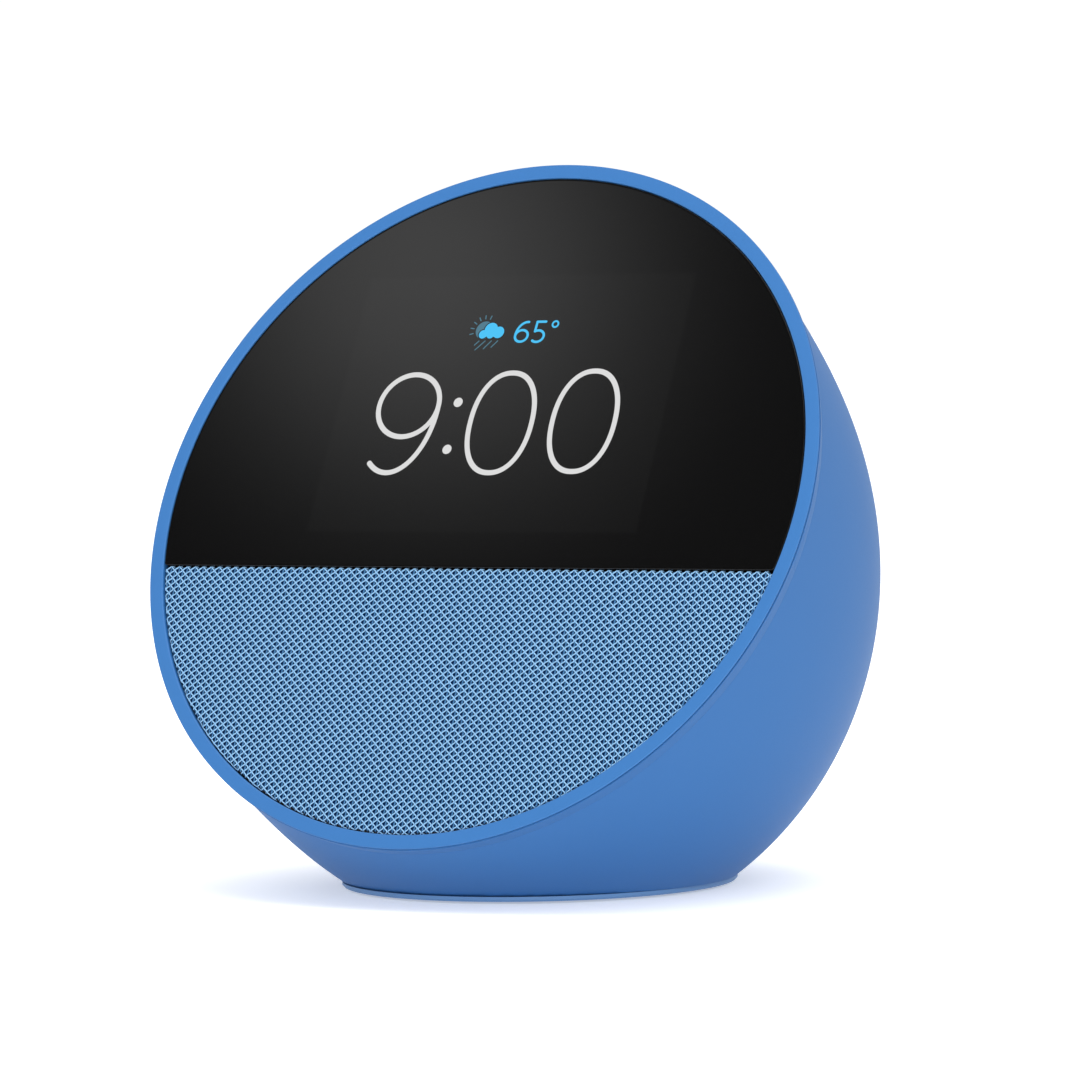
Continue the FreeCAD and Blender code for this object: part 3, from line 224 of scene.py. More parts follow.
# ---------------------------------------------------------------- rear shell
# The body is one moulding in satin blue plastic, round in every section parallel to the
# front and drawn in to a blunt nose behind. Its underside is cut flat for the base plate.
def new_piece(name, points, faces, material, slot, body="housing", crease=35.0, corner_uv=None):
    """A piece from points (n, 3) in metres and index arrays, one for each number of corners.

    Its faces are turned outwards if the volume they enclose comes out negative, and edges
    sharper than crease degrees stay sharp.
    """
    volume = 0.0
    for block in faces:
        for k in range(1, block.shape[1] - 1):
            a, b, c = points[block[:, 0]], points[block[:, k]], points[block[:, k + 1]]
            volume += float(np.einsum("ij,ij->i", a, np.cross(b, c)).sum())
    if volume < 0.0:
        faces = [block[:, ::-1] for block in faces]
        corner_uv = None if corner_uv is None else [block[:, ::-1] for block in corner_uv]
    corners = np.concatenate([block.ravel() for block in faces]).astype(np.int32)
    sizes = np.concatenate([np.full(len(block), block.shape[1]) for block in faces])
    starts = np.concatenate(([0], np.cumsum(sizes)[:-1])).astype(np.int32)
    mesh = bpy.data.meshes.new(name)
    mesh.vertices.add(len(points))
    mesh.vertices.foreach_set("co", np.ascontiguousarray(points, dtype=np.float32).ravel())
    mesh.loops.add(len(corners))
    mesh.loops.foreach_set("vertex_index", corners)
    mesh.polygons.add(len(starts))
    mesh.polygons.foreach_set("loop_start", starts)
    if corner_uv is not None:
        layer = mesh.uv_layers.new(name="UVMap")
        layer.data.foreach_set("uv", np.concatenate([b.reshape(-1, 2) for b in corner_uv])
                               .astype(np.float32).ravel())
    mesh.update(calc_edges=True)
    mesh.validate()
    mesh.shade_smooth()
    mesh.set_sharp_from_angle(angle=np.radians(crease))
    mesh.materials.append(material)
    piece = bpy.data.objects.new(name, mesh)
    bpy.context.scene.collection.objects.link(piece)
    if body:
        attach(piece, body)
    return piece


def skin(rings, joined=False):
    """Skins a stack of rings (rows, columns, 3): quads between rings, and a fan to a middle point at each
    end, or quads from the last ring back to the first if joined."""
    rows, columns = rings.shape[:2]
    row, column = np.meshgrid(np.arange(rows if joined else rows - 1), np.arange(columns), indexing="ij")
    here, there = row * columns, (row + 1) % rows * columns
    beside = (column + 1) % columns
    quads = np.stack((here + column, here + beside, there + beside, there + column), axis=-1).reshape(-1, 4)
    points = rings.reshape(-1, 3)
    if joined:
        return points, [quads]
    first, last = np.arange(columns), (rows - 1) * columns + np.arange(columns)
    centre_first, centre_last = len(points), len(points) + 1
    fans = np.concatenate((
        np.stack((np.roll(first, -1), first, np.full(columns, centre_first)), axis=-1),
        np.stack((last, np.roll(last, -1), np.full(columns, centre_last)), axis=-1)))
    points = np.concatenate((points, rings[0].mean(axis=0)[None], rings[-1].mean(axis=0)[None]))
    return points, [quads, fans]


def turned(profile, place, columns=192):
    """Rings of a turned piece: profile is (radius, height) rows in mm and place maps mm to the room."""
    radius, height = np.asarray(profile, float).T[:, :, None]
    angle = np.linspace(0.0, 2.0 * np.pi, columns, endpoint=False)
    return place(radius * np.cos(angle), radius * np.sin(angle), height + 0.0 * angle)


SHELL_RADIUS, SHELL_LONG, SHELL_START, SHELL_SINK = 55.8, 73.0, 1.3, 0.146
SHELL_BLUNT, SHELL_ROUND = 2.9, 1.45
SHELL_FRONT, SHELL_WALL, SHELL_FLAT = 3.02, 2.0, 1.2


def shell_rings(inset, count, columns):
    """Circles behind the front: radius falls as (1 - (depth / length) ^ 2.9) ^ (1 / 1.45), and each middle
    sinks by 0.146 of its depth. The rows step evenly in the superellipse's angle."""
    first = ((SHELL_FRONT - SHELL_START) / SHELL_LONG) ** (SHELL_BLUNT / 2.0)
    turn = np.linspace(np.arcsin(first), np.radians(89.6), count)[:, None]
    depth = SHELL_START + (SHELL_LONG - inset) * np.sin(turn) ** (2.0 / SHELL_BLUNT)
    radius = (SHELL_RADIUS - inset) * np.cos(turn) ** (2.0 / SHELL_ROUND)
    depth[0] = SHELL_FRONT
    angle = np.linspace(0.0, 2.0 * np.pi, columns, endpoint=False)
    return on_front(radius * np.cos(angle), radius * np.sin(angle) - SHELL_SINK * depth, -depth)


def shell_height(x, y, place, lift):
    """Height along a part's own axis at which a point stands lift mm outside the shell, by halving the
    span between inside and outside thirty times."""
    def outside(h):
        away = (place(x, y, h) - FRONT_MIDDLE) / MM
        depth = np.clip(-away @ OUT_FRONT, SHELL_START + 0.1, SHELL_START + SHELL_LONG - 0.1)
        share = ((depth - SHELL_START) / SHELL_LONG) ** SHELL_BLUNT
        section = SHELL_RADIUS * (1.0 - share) ** (1.0 / SHELL_ROUND)
        return np.hypot(away @ ACROSS, away @ UP_FRONT + SHELL_SINK * depth) - section
    low, high = np.full(np.shape(x), -2.0), np.full(np.shape(x), 2.0)
    for _ in range(30):
        middle = 0.5 * (low + high)
        beyond = outside(middle) > 0.0
        low, high = np.where(beyond, low, middle), np.where(beyond, middle, high)
    return 0.5 * (low + high) + lift


KEY_MIDDLE = np.array((0.0, 20.296, 98.340)) * MM
KEY_OUT = np.array((0.0, 0.65192, 0.75829))
KEY_UP = np.array((0.0, -0.75829, 0.65192))
KEY_PITCH, KEY_HOLE, MIC_PITCH, MIC_HOLE = 15.0, 5.05, 7.5, 0.6


def on_keys(across, up, out):
    """Millimetres across, toward the front and out of the button row, as points in the room."""
    across, up, out = np.broadcast_arrays(across, up, out)
    return KEY_MIDDLE + MM * (across[..., None] * ACROSS + up[..., None] * KEY_UP + out[..., None] * KEY_OUT)


INLET_MIDDLE = np.array((0.0, 36.9, 15.0)) * MM


def on_inlet(across, up, out):
    """Millimetres across, up and out of the power inlet's mouth, which faces straight back."""
    across, up, out = np.broadcast_arrays(across, up, out)
    return INLET_MIDDLE + MM * np.stack((-across, out, up), axis=-1)


def at_floor(across, back, height):
    """Millimetres across, back and above the table from the middle of the base."""
    across, back, height = np.broadcast_arrays(across, back, height)
    return MM * np.stack((across, back - 2.9, height), axis=-1)


def rod_cutter(name, radius, x, y, low, high, place, columns=96):
    """A plain cylinder that is cut out of a moulding."""
    def move(across, up, out):
        return place(across + x, up + y, out)
    return new_piece(name, *skin(turned([(radius, low), (radius, high)], move, columns)), None, None, None)


def cut(piece, cutters):
    """Takes the cutters out of the piece for good, and keeps its edges crisp."""
    for tool in cutters:
        step = piece.modifiers.new("cut", "BOOLEAN")
        step.operation, step.solver, step.object = "DIFFERENCE", "EXACT", tool
    whole = piece.evaluated_get(bpy.context.evaluated_depsgraph_get())
    mesh = bpy.data.meshes.new_from_object(whole)
    piece.modifiers.clear()
    piece.data = mesh
    mesh.name = piece.name
    mesh.shade_smooth()
    mesh.set_sharp_from_angle(angle=np.radians(35.0))
    for tool in cutters:
        bpy.data.objects.remove(tool)


satin_blue = moulded("satin_blue_shell", (0.032, 0.124, 0.325), 0.56, scale=5200.0, depth=0.06,
                     mottle=0.03, Specular_IOR_Level=0.17)
shell_out = shell_rings(0.0, 130, 256)
shell_in = shell_rings(SHELL_WALL, 60, 256)
shell_points, shell_faces = skin(np.concatenate((shell_in[::-1], shell_out)))
rear_shell = new_piece("shell_moulding", shell_points, shell_faces, satin_blue, "shell")
cut(rear_shell, [
    rod_cutter("cut_flat", 90.0, 0.0, 0.0, -30.0, SHELL_FLAT, at_floor),
    *[rod_cutter(f"cut_key_{i}", KEY_HOLE, i * KEY_PITCH, 0.0, -6.6, 8.0, on_keys) for i in (-1, 0, 1)],
    *[rod_cutter(f"cut_mic_{i}", MIC_HOLE, i * MIC_PITCH, 0.0, -6.6, 8.0, on_keys, 32) for i in (-1, 1)],
    rod_cutter("cut_inlet", 4.25, 0.0, 0.0, -6.0, 14.0, on_inlet),
])
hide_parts("rear_shell")

# ---------------------------------------------------------------- bezel ring
# A moulded ring in a brighter, slightly glossier blue, with softly broken edges. A groove just
# behind its face leaves a fine shadow line, and the side behind it runs on into the shell.
CORNER_STEPS = 6


def rounded(profile, radius):
    """A closed profile (n, 2) with every corner replaced by a curve that starts radius before it and ends
    radius after it: a quadratic Bezier with the corner as its middle point."""
    corner = np.asarray(profile, float)
    before, after = np.roll(corner, 1, axis=0) - corner, np.roll(corner, -1, axis=0) - corner
    shorter = np.minimum(np.linalg.norm(before, axis=1), np.linalg.norm(after, axis=1))
    reach = np.minimum(radius, 0.45 * shorter)
    start = corner + before / np.linalg.norm(before, axis=1, keepdims=True) * reach[:, None]
    end = corner + after / np.linalg.norm(after, axis=1, keepdims=True) * reach[:, None]
    s = np.linspace(0.0, 1.0, CORNER_STEPS)[None, :, None]
    curve = (1 - s) ** 2 * start[:, None] + 2 * s * (1 - s) * corner[:, None] + s ** 2 * end[:, None]
    return curve.reshape(-1, 2)


RING_IN, RING_OUT, RING_BACK, RING_DEEP = 54.38, 56.65, 55.85, 3.0
GROOVE_TOP, GROOVE_LOW, GROOVE_DEEP = -0.22, -0.56, 0.40
ring_corners = [  # radius, height and rounding of each corner
    (RING_IN, 0.0, 0.28), (RING_OUT, 0.0, 0.12), (RING_OUT, GROOVE_TOP, 0.05),
    (RING_OUT - GROOVE_DEEP, GROOVE_TOP, 0.03), (RING_OUT - GROOVE_DEEP, GROOVE_LOW, 0.03),
    (RING_OUT, GROOVE_LOW, 0.08), (RING_BACK, -RING_DEEP, 0.03),
    (RING_IN, -RING_DEEP, 0.28)]
ring_profile = rounded([corner[:2] for corner in ring_corners],
                       np.array([corner[2] for corner in ring_corners]))
SIDE_START = 55.0


def ring_place(across, up, out):
    """Places the ring. Behind its groove the outer side sinks by 0.146 of its depth, as the shell's sections
    do, so that it runs on into the shell."""
    behind = (np.hypot(across, up) > SIDE_START) & (out < GROOVE_LOW - 0.05)
    return on_front(across, up + np.where(behind, SHELL_SINK * out, 0.0), out)


ring_blue = moulded("ring_blue", (0.027, 0.138, 0.372), 0.50, scale=5200.0, depth=0.05, mottle=0.03,
                    Specular_IOR_Level=0.35)
RING_COLUMNS = 384
SKIRT_FROM, SKIRT_TO = 5, 7  # the corners between which the side takes the shell's finish
bezel = new_piece("front_ring", *skin(turned(ring_profile, ring_place, RING_COLUMNS), joined=True),
                  ring_blue, "bezel")
bezel.data.materials.append(satin_blue)
profile_row = np.arange(len(bezel.data.polygons)) // RING_COLUMNS
skirt = (profile_row >= SKIRT_FROM * CORNER_STEPS) & (profile_row < SKIRT_TO * CORNER_STEPS)
bezel.data.polygons.foreach_set("material_index", skirt.astype(np.int32))
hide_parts("bezel_ring")


# ---------------------------------------------------------------- cover glass
# A black printed glass that fills the disc above the cloth, ground flat with a pencilled
# edge. The display's window is only just lighter than the black print round it.
def cut_disc(radius, chord, corner, below, arc=320, straight=80, turns=8):
    """The outline of a disc cut off by a straight chord, with rounded corners: core points and outward
    directions, so that core + (corner - inset) * direction is the outline moved in by inset."""
    level = chord if below else -chord
    inner, edge = radius - corner, level - corner
    tilt = np.arcsin(edge / inner)
    round_ = np.linspace(np.pi - tilt, 2.0 * np.pi + tilt, arc)
    swing_right = np.linspace(tilt, 0.5 * np.pi, turns)
    swing_left = np.linspace(0.5 * np.pi, np.pi - tilt, turns)
    half = inner * np.cos(tilt)
    line = np.linspace(half, -half, straight)[1:-1]
    core = np.concatenate((
        np.stack((inner * np.cos(round_), inner * np.sin(round_)), axis=-1)[:-1],
        np.tile((half, edge), (turns, 1)), np.stack((line, np.full_like(line, edge)), axis=-1),
        np.tile((-half, edge), (turns, 1))[:-1]))
    facing = np.concatenate((round_[:-1], swing_right, np.full(len(line), 0.5 * np.pi), swing_left[:-1]))
    way_out = np.stack((np.cos(facing), np.sin(facing)), axis=-1)
    if not below:
        core[:, 1] *= -1.0
        way_out[:, 1] *= -1.0
    return core, way_out


def plate_rings(outline, corner, rows):
    """Rings of a flat plate with that outline: rows are (inset, height) in mm."""
    core, way_out = outline
    inset, high_ = np.asarray(rows, float).T[:, :, None]
    flat = core[None] + (corner - inset)[..., None] * way_out[None]
    return on_front(flat[..., 0], flat[..., 1], high_ + 0.0 * flat[..., 0])


GLASS_RADIUS, GLASS_LOW, GLASS_CORNER = 54.22, -11.20, 0.5
GLASS_TOP, GLASS_BACK, GLASS_EDGE = -0.15, -1.35, 0.05
edge_turn = np.linspace(0.0, 0.5 * np.pi, 6)
glass_rows = [(0.45, GLASS_TOP), (0.3, GLASS_TOP)]
glass_rows += [(GLASS_EDGE * (1 - np.sin(t)), GLASS_TOP - GLASS_EDGE * (1 - np.cos(t))) for t in edge_turn]
glass_rows.append((0.0, GLASS_BACK))

black_glass, glass_shader = principled("black_glass", (0.002, 0.002, 0.0021), 0.05, IOR=1.52)
tree = black_glass.node_tree
place = add_node(tree, "ShaderNodeTexCoord").outputs["Object"]
WINDOW_HALF, WINDOW_LOW, WINDOW_HIGH = 28.75, -5.4, 37.7


def face_reading(tree, place, way):
    """How far a point lies along one of the front's directions, in metres from the front's middle."""
    moved_ = add_node(tree, "ShaderNodeVectorMath", {0: place, 1: tuple(FRONT_MIDDLE)}, operation="SUBTRACT")
    return add_node(tree, "ShaderNodeVectorMath", {0: moved_.outputs[0], 1: tuple(way)},
                    operation="DOT_PRODUCT").outputs["Value"]


def inside(tree, value, low, high, soft):
    """1 between low and high, 0 outside, in mm, with edges that fade over soft."""
    ranges = [add_node(tree, "ShaderNodeMapRange",
                       {"Value": value, "From Min": (edge - soft) * MM, "From Max": (edge + soft) * MM},
                       interpolation_type="SMOOTHSTEP").outputs[0] for edge in (low, high)]
    return add_node(tree, "ShaderNodeMath", {0: ranges[0], 1: ranges[1]}, operation="SUBTRACT").outputs[0]


window = add_node(tree, "ShaderNodeMath", {
    0: inside(tree, face_reading(tree, place, ACROSS), -WINDOW_HALF, WINDOW_HALF, 0.12),
    1: inside(tree, face_reading(tree, place, UP_FRONT), WINDOW_LOW, WINDOW_HIGH, 0.12)},
    operation="MULTIPLY")
dust = add_node(tree, "ShaderNodeTexNoise", {"Vector": place, "Scale": 35.0, "Detail": 4.0})
film = add_node(tree, "ShaderNodeMapRange", {"Value": dust.outputs["Fac"], "To Min": 0.045, "To Max": 0.075})
tree.links.new(film.outputs[0], glass_shader.inputs["Roughness"])
print_mix = add_node(tree, "ShaderNodeMix", {"Factor": window.outputs[0],
                                             6: (0.0020, 0.0020, 0.0021, 1.0),
                                             7: (0.0034, 0.0034, 0.0035, 1.0)}, data_type="RGBA")
tree.links.new(print_mix.outputs[2], glass_shader.inputs["Base Color"])
glass = new_piece("front_glass",
                  *skin(plate_rings(cut_disc(GLASS_RADIUS, GLASS_LOW, GLASS_CORNER, below=False),
                                    GLASS_CORNER, glass_rows)), black_glass, "glass", crease=50.0)
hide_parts("cover_glass")


# ---------------------------------------------------------------- figures on the display
# The lit picture of the display: the time, the temperature and a plain weather sign, as
# thin lit shapes on the glass. Each line is even in width and round at its ends.
FIGURE_BACK, FIGURE_TOP = -0.151, -0.135
DOT_PITCH = 0.12


def stroke(path, half, closed=False, caps=7):
    """The outline of an even line as rings of four corners: at each point of the path, half its width to
    either side. Each open end runs on as a half circle."""
    path = np.asarray(path, float)
    if closed:
        along = np.roll(path, -1, axis=0) - np.roll(path, 1, axis=0)
    else:
        along = np.gradient(path, axis=0)
    along /= np.linalg.norm(along, axis=1, keepdims=True)
    width = np.full(len(path), half)
    if not closed:
        turn = np.linspace(0.0, np.radians(84.0), caps)[1:]
        tail = path[-1] + along[-1] * half * np.sin(turn)[:, None]
        head = path[0] - along[0] * half * np.sin(turn)[::-1, None]
        path = np.concatenate((head, path, tail))
        along = np.concatenate((np.tile(along[0], (caps - 1, 1)), along, np.tile(along[-1], (caps - 1, 1))))
        width = np.concatenate((half * np.cos(turn)[::-1], width, half * np.cos(turn)))
    side = np.stack((-along[:, 1], along[:, 0]), axis=-1) * width[:, None]
    return path + side, path - side


def lit_line(path, half, closed=False):
    """A lit line on the glass: its two sides at the top and the back of a thin film, skinned."""
    left, right_ = stroke(path, half, closed)
    rings = np.stack([on_front(*edge.T, out) for edge, out in
                      ((left, FIGURE_TOP), (right_, FIGURE_TOP), (right_, FIGURE_BACK), (left, FIGURE_BACK))],
                     axis=1)
    return skin(rings, joined=closed)


def arc(middle, radii, start, end, count=48, power=2.0):
    """Points on an ellipse, or a superellipse of that power, from start to end degrees."""
    turn = np.radians(np.linspace(start, end, count))
    c, s = np.cos(turn), np.sin(turn)
    return np.stack((middle[0] + radii[0] * np.sign(c) * np.abs(c) ** (2.0 / power),
                     middle[1] + radii[1] * np.sign(s) * np.abs(s) ** (2.0 / power)), axis=-1)


def merge(parts):
    """Several meshes as one: points stacked, indices moved on."""
    points, quads, fans, offset = [], [], [], 0
    for part_points, part_faces in parts:
        points.append(part_points)
        quads.append(part_faces[0] + offset)
        if len(part_faces) > 1:
            fans.append(part_faces[1] + offset)
        offset += len(part_points)
    return np.concatenate(points), [np.concatenate(quads)] + ([np.concatenate(fans)] if fans else [])


def lit_disc(middle, radius, out_top, count=48):
    """A lit round dot."""
    turn = np.linspace(0.0, 2.0 * np.pi, count, endpoint=False)
    edge = np.stack((middle[0] + radius * np.cos(turn), middle[1] + radius * np.sin(turn)), axis=-1)
    return skin(np.stack([on_front(*edge.T, out) for out in (out_top, FIGURE_BACK)]))


def lit(name, colour):
    """A lit colour, with the faint lattice of the panel's own dots across it."""
    material, shader = principled(name, (0.0, 0.0, 0.0), 0.3, Emission_Strength=1.0,
                                  Specular_IOR_Level=0.2)
    tree = material.node_tree
    place = add_node(tree, "ShaderNodeTexCoord").outputs["Object"]
    waves = []
    for way_ in (ACROSS, UP_FRONT):
        turn = add_node(tree, "ShaderNodeMath", {0: face_reading(tree, place, way_),
                                                 1: 2.0 * np.pi / (DOT_PITCH * MM)}, operation="MULTIPLY")
        waves.append(add_node(tree, "ShaderNodeMath", {0: turn.outputs[0]}, operation="COSINE").outputs[0])
    both_ = add_node(tree, "ShaderNodeMath", {0: waves[0], 1: waves[1]}, operation="ADD")
    level_ = add_node(tree, "ShaderNodeMath", {0: both_.outputs[0], 1: 0.02, 2: 1.0},
                      operation="MULTIPLY_ADD")
    tint_ = add_node(tree, "ShaderNodeVectorMath", {0: colour, "Scale": level_.outputs[0]},
                     operation="SCALE")
    tree.links.new(tint_.outputs[0], shader.inputs["Emission Color"])
    return material


lit_white = lit("lit_white", (0.72, 0.72, 0.72))
lit_sky = lit("lit_sky_blue", (0.075, 0.55, 0.93))
lit_grey = lit("lit_grey_blue", (0.085, 0.20, 0.27))
unlit = moulded("unlit_window", (0.006, 0.006, 0.0065), 0.08, depth=0.0)

LINE = 0.42
time_nine = [lit_line(arc((-16.10, 15.75), (5.30, 5.25), 0.0, 360.0, 72)[:-1], LINE, closed=True),
             lit_line(arc((-17.20, 15.00), (6.40, 10.55), 4.0, -122.0, 64), LINE)]
time_zeros = [lit_line(arc(middle, (5.40, 8.35), 0.0, 360.0, 96, 2.2)[:-1], LINE, closed=True)
              for middle in ((0.95, 12.78), (15.30, 12.97))]
time_colon = [lit_disc(middle, 0.78, FIGURE_TOP) for middle in ((-7.45, 16.25), (-7.38, 8.35))]
new_piece("lit_time", *merge(time_nine + time_zeros + time_colon), lit_white, "lcd", crease=60.0)

FINE_LINE = 0.20
six = [lit_line(arc((0.83, 27.40), (1.10, 0.98), 0.0, 360.0, 40)[:-1], FINE_LINE, closed=True),
       lit_line(arc((1.50, 27.50), (1.78, 2.25), 180.0, 86.0, 24), FINE_LINE)]
five_bowl = arc((3.66, 27.32), (1.12, 0.97), 122.0, -130.0, 32)
five = [lit_line([(4.62, 29.76), (3.10, 29.76)], FINE_LINE),
        lit_line([(3.12, 29.76), (3.05, 28.16)], FINE_LINE), lit_line(five_bowl, FINE_LINE)]
degree = [lit_line(arc((6.35, 29.32), (0.50, 0.50), 0.0, 360.0, 32)[:-1], 0.15, closed=True)]
new_piece("lit_temperature", *merge(six + five + degree), lit_sky, "lcd", crease=60.0)

SUN = (-5.95, 28.45)
sun_turns = np.radians(73.0 + 24.6 * np.arange(6))
rays = [lit_line([(SUN[0] + reach * np.cos(t), SUN[1] + reach * np.sin(t)) for reach in (1.95, 2.50)], 0.09)
        for t in sun_turns]
rain = [lit_line(np.array((start, end)), 0.085) for start, end in
        (((-7.09, 25.93), (-6.45, 26.62)), ((-6.78, 25.12), (-5.36, 26.62)),
         ((-5.35, 25.29), (-4.26, 26.62)), ((-4.04, 25.55), (-3.13, 26.62)))]
new_piece("lit_sun_and_rain", *merge([lit_disc(SUN, 1.50, FIGURE_TOP)] + rays + rain), lit_grey, "lcd",
          crease=60.0)


def cloud(grow, out_top, count=160):
    """A cloud: the furthest of three circles in each direction from its middle, and flat below."""
    heart, base = np.array((-4.75, 27.85)), 27.03 - grow
    turn = np.linspace(0.0, 2.0 * np.pi, count, endpoint=False)
    ray = np.stack((np.cos(turn), np.sin(turn)), axis=-1)
    reach = np.zeros(count)
    for x, y, r in ((-6.02, 27.75, 0.72), (-4.78, 28.55, 1.14), (-3.36, 28.05, 0.98), (-4.7, 27.7, 0.67)):
        lean_ = ray @ (np.array((x, y)) - heart)
        aside = ray @ np.array((-(y - heart[1]), x - heart[0]))
        under = (r + grow) ** 2 - aside ** 2
        reach = np.maximum(reach, np.where(under > 0.0, lean_ + np.sqrt(np.maximum(under, 0.0)), 0.0))
    to_base = (base - heart[1]) / np.minimum(ray[:, 1], -1e-6)
    reach = np.where(ray[:, 1] < 0.0, np.minimum(reach, to_base), reach)
    edge = heart + reach[:, None] * ray
    return skin(np.stack([on_front(*edge.T, out) for out in (out_top, FIGURE_BACK)]))


new_piece("cloud_edge", *cloud(0.18, FIGURE_TOP + 0.004), unlit, "lcd", crease=60.0)
new_piece("lit_cloud", *cloud(0.0, FIGURE_TOP + 0.008), lit_sky, "lcd", crease=60.0)

# ---------------------------------------------------------------- speaker cloth
# An open knit in two blues, stretched over the speaker plate and turned down round its
# edge: light yarns waver and touch, leaving small openings, a mid-blue yarn runs behind the
# openings, and a dark scrim lies under them.
CLOTH_RADIUS, CLOTH_HIGH, CLOTH_CORNER = 54.12, -11.36, 1.0
CLOTH_FACE, CLOTH_BEND = -0.33, 0.30
NET_WIDE, NET_HIGH, OVAL = 1.46, 1.268, 0.6


def cloth_place(across, up, lift):
    """Where a point of the flat cut lies once the cloth is turned down round the plate.

    Inside the outline it stays flat. Past the start of the bend it follows a quarter circle
    of the bend's radius and then goes straight down. lift stands it off the cloth.
    Returns the point and the cloth's own outward direction there, both in the front's axes.
    """
    inner, edge = CLOTH_RADIUS - CLOTH_CORNER, CLOTH_HIGH - CLOTH_CORNER
    far = np.hypot(across, up)
    past_arc, past_edge = far - inner, up - edge
    arc_way = np.stack((across, up), axis=-1) / np.maximum(far, 1e-6)[..., None]
    edge_way = np.stack((np.zeros_like(up), np.ones_like(up)), axis=-1)
    both_out = (past_arc > 0.0) & (past_edge > 0.0)
    corner_way = past_arc[..., None] * arc_way + past_edge[..., None] * edge_way
    corner_far = np.linalg.norm(corner_way, axis=-1)
    distance = np.where(both_out, corner_far, np.maximum(past_arc, past_edge)) - CLOTH_CORNER
    way_ = np.where(both_out[..., None], corner_way / np.maximum(corner_far, 1e-6)[..., None],
                    np.where((past_arc > past_edge)[..., None], arc_way, edge_way))
    run = distance + CLOTH_BEND
    turn = np.clip(run / CLOTH_BEND, 0.0, 0.5 * np.pi)
    hanging = np.maximum(run - 0.5 * np.pi * CLOTH_BEND, 0.0)
    back_in = np.where(run > 0.0, CLOTH_BEND * np.sin(turn) - run, 0.0)
    flat = np.stack((across, up), axis=-1) + back_in[..., None] * way_
    down = CLOTH_BEND * (1.0 - np.cos(turn)) + hanging
    facing = np.concatenate((np.sin(turn)[..., None] * way_, np.cos(turn)[..., None]), axis=-1)
    points = np.concatenate((flat, (CLOTH_FACE - down)[..., None]), axis=-1)
    return points + np.asarray(lift)[..., None] * facing, facing, distance


def yarns(columns, waver, depth, swell, wide, thick, steps, sides):
    """One family of the knit's upright yarns, each a flattened tube.

    A yarn stands between two columns of openings and wavers as a cosine to the power 0.6, out
    past an opening on one side and then back past the next on the other, so that neighbours
    touch between openings. It rises by swell where they touch. The section is an ellipse, wide by thick,
    square to the yarn and to the cloth.
    """
    rows = np.arange(np.floor(-CLOTH_RADIUS / NET_HIGH) * steps - steps,
                     np.ceil(CLOTH_HIGH / NET_HIGH) * steps + 2 * steps)
    up = rows * NET_HIGH / steps
    phase = 2.0 * np.pi * rows[None] / steps + np.pi * np.floor(columns)[:, None]
    swing = np.sign(np.cos(phase)) * np.abs(np.cos(phase)) ** OVAL
    across = columns[:, None] * 0.5 * NET_WIDE + waver * swing
    up = np.broadcast_to(up, across.shape)
    middle, facing, distance = cloth_place(across, up, depth + swell * np.cos(phase))
    kept = distance < 0.35
    along = np.gradient(middle, axis=1)
    along /= np.maximum(np.linalg.norm(along, axis=-1, keepdims=True), 1e-9)
    sideways = np.cross(along, facing)
    turn = np.linspace(0.0, 2.0 * np.pi, sides, endpoint=False) + 0.5 * np.pi
    ring = (middle[:, :, None] + 0.5 * wide * np.cos(turn)[:, None] * sideways[:, :, None]
            + 0.5 * thick * np.sin(turn)[:, None] * facing[:, :, None])
    lines, count = middle.shape[:2]
    index = np.arange(lines * count * sides).reshape(lines, count, sides)
    beside = np.roll(index, -1, axis=2)
    span = kept[:, :-1] & kept[:, 1:]
    quads = np.stack((index[:, :-1], beside[:, :-1], beside[:, 1:], index[:, 1:]), axis=-1)
    quads = quads[span].reshape(-1, 4)
    length = np.broadcast_to((rows / steps)[None, :, None], index.shape)
    round_ = np.broadcast_to((np.arange(sides) / sides)[None, None], index.shape)
    uv = np.stack((
        np.stack((length[:, :-1], round_[:, :-1]), axis=-1),
        np.stack((length[:, :-1], round_[:, :-1] + 1.0 / sides), axis=-1),
        np.stack((length[:, 1:], round_[:, :-1] + 1.0 / sides), axis=-1),
        np.stack((length[:, 1:], round_[:, :-1]), axis=-1)), axis=-2)[span].reshape(-1, 4, 2)
    before = np.concatenate((np.zeros((lines, 1), bool), span), axis=1)
    after = np.concatenate((span, np.zeros((lines, 1), bool)), axis=1)
    caps = np.concatenate((index[after & ~before][:, ::-1], index[before & ~after]))
    used, renumbered = np.unique(np.concatenate((quads.ravel(), caps.ravel())), return_inverse=True)
    renumbered = renumbered.ravel()
    faces = [renumbered[:quads.size].reshape(-1, 4), renumbered[quads.size:].reshape(-1, sides)]
    return on_front(*ring.reshape(-1, 3)[used].T), faces, [uv, np.zeros((len(caps), sides, 2))]


yarn, given, made = new_group(
    "spun_yarn",
    [("Color", "Color", (0.5, 0.5, 0.5, 1.0)), ("Shade", "Float", 0.7), ("Twist", "Float", 3.0)],
    [("Color", "Color"), ("Normal", "Vector")])
wound = add_node(yarn, "ShaderNodeSeparateXYZ", {"Vector": add_node(yarn, "ShaderNodeUVMap").outputs["UV"]})
coil = add_node(yarn, "ShaderNodeMath",
                {0: wound.outputs["X"], 1: given["Twist"], 2: wound.outputs["Y"]}, operation="MULTIPLY_ADD")
coil = add_node(yarn, "ShaderNodeMath", {0: coil.outputs[0], 1: 2.0 * np.pi}, operation="MULTIPLY")
coil = add_node(yarn, "ShaderNodeMath", {0: coil.outputs[0]}, operation="COSINE")
ply = add_node(yarn, "ShaderNodeMapRange", {"Value": coil.outputs[0], "From Min": -1.0, "From Max": 0.6})
yarn_place = add_node(yarn, "ShaderNodeTexCoord").outputs["Object"]
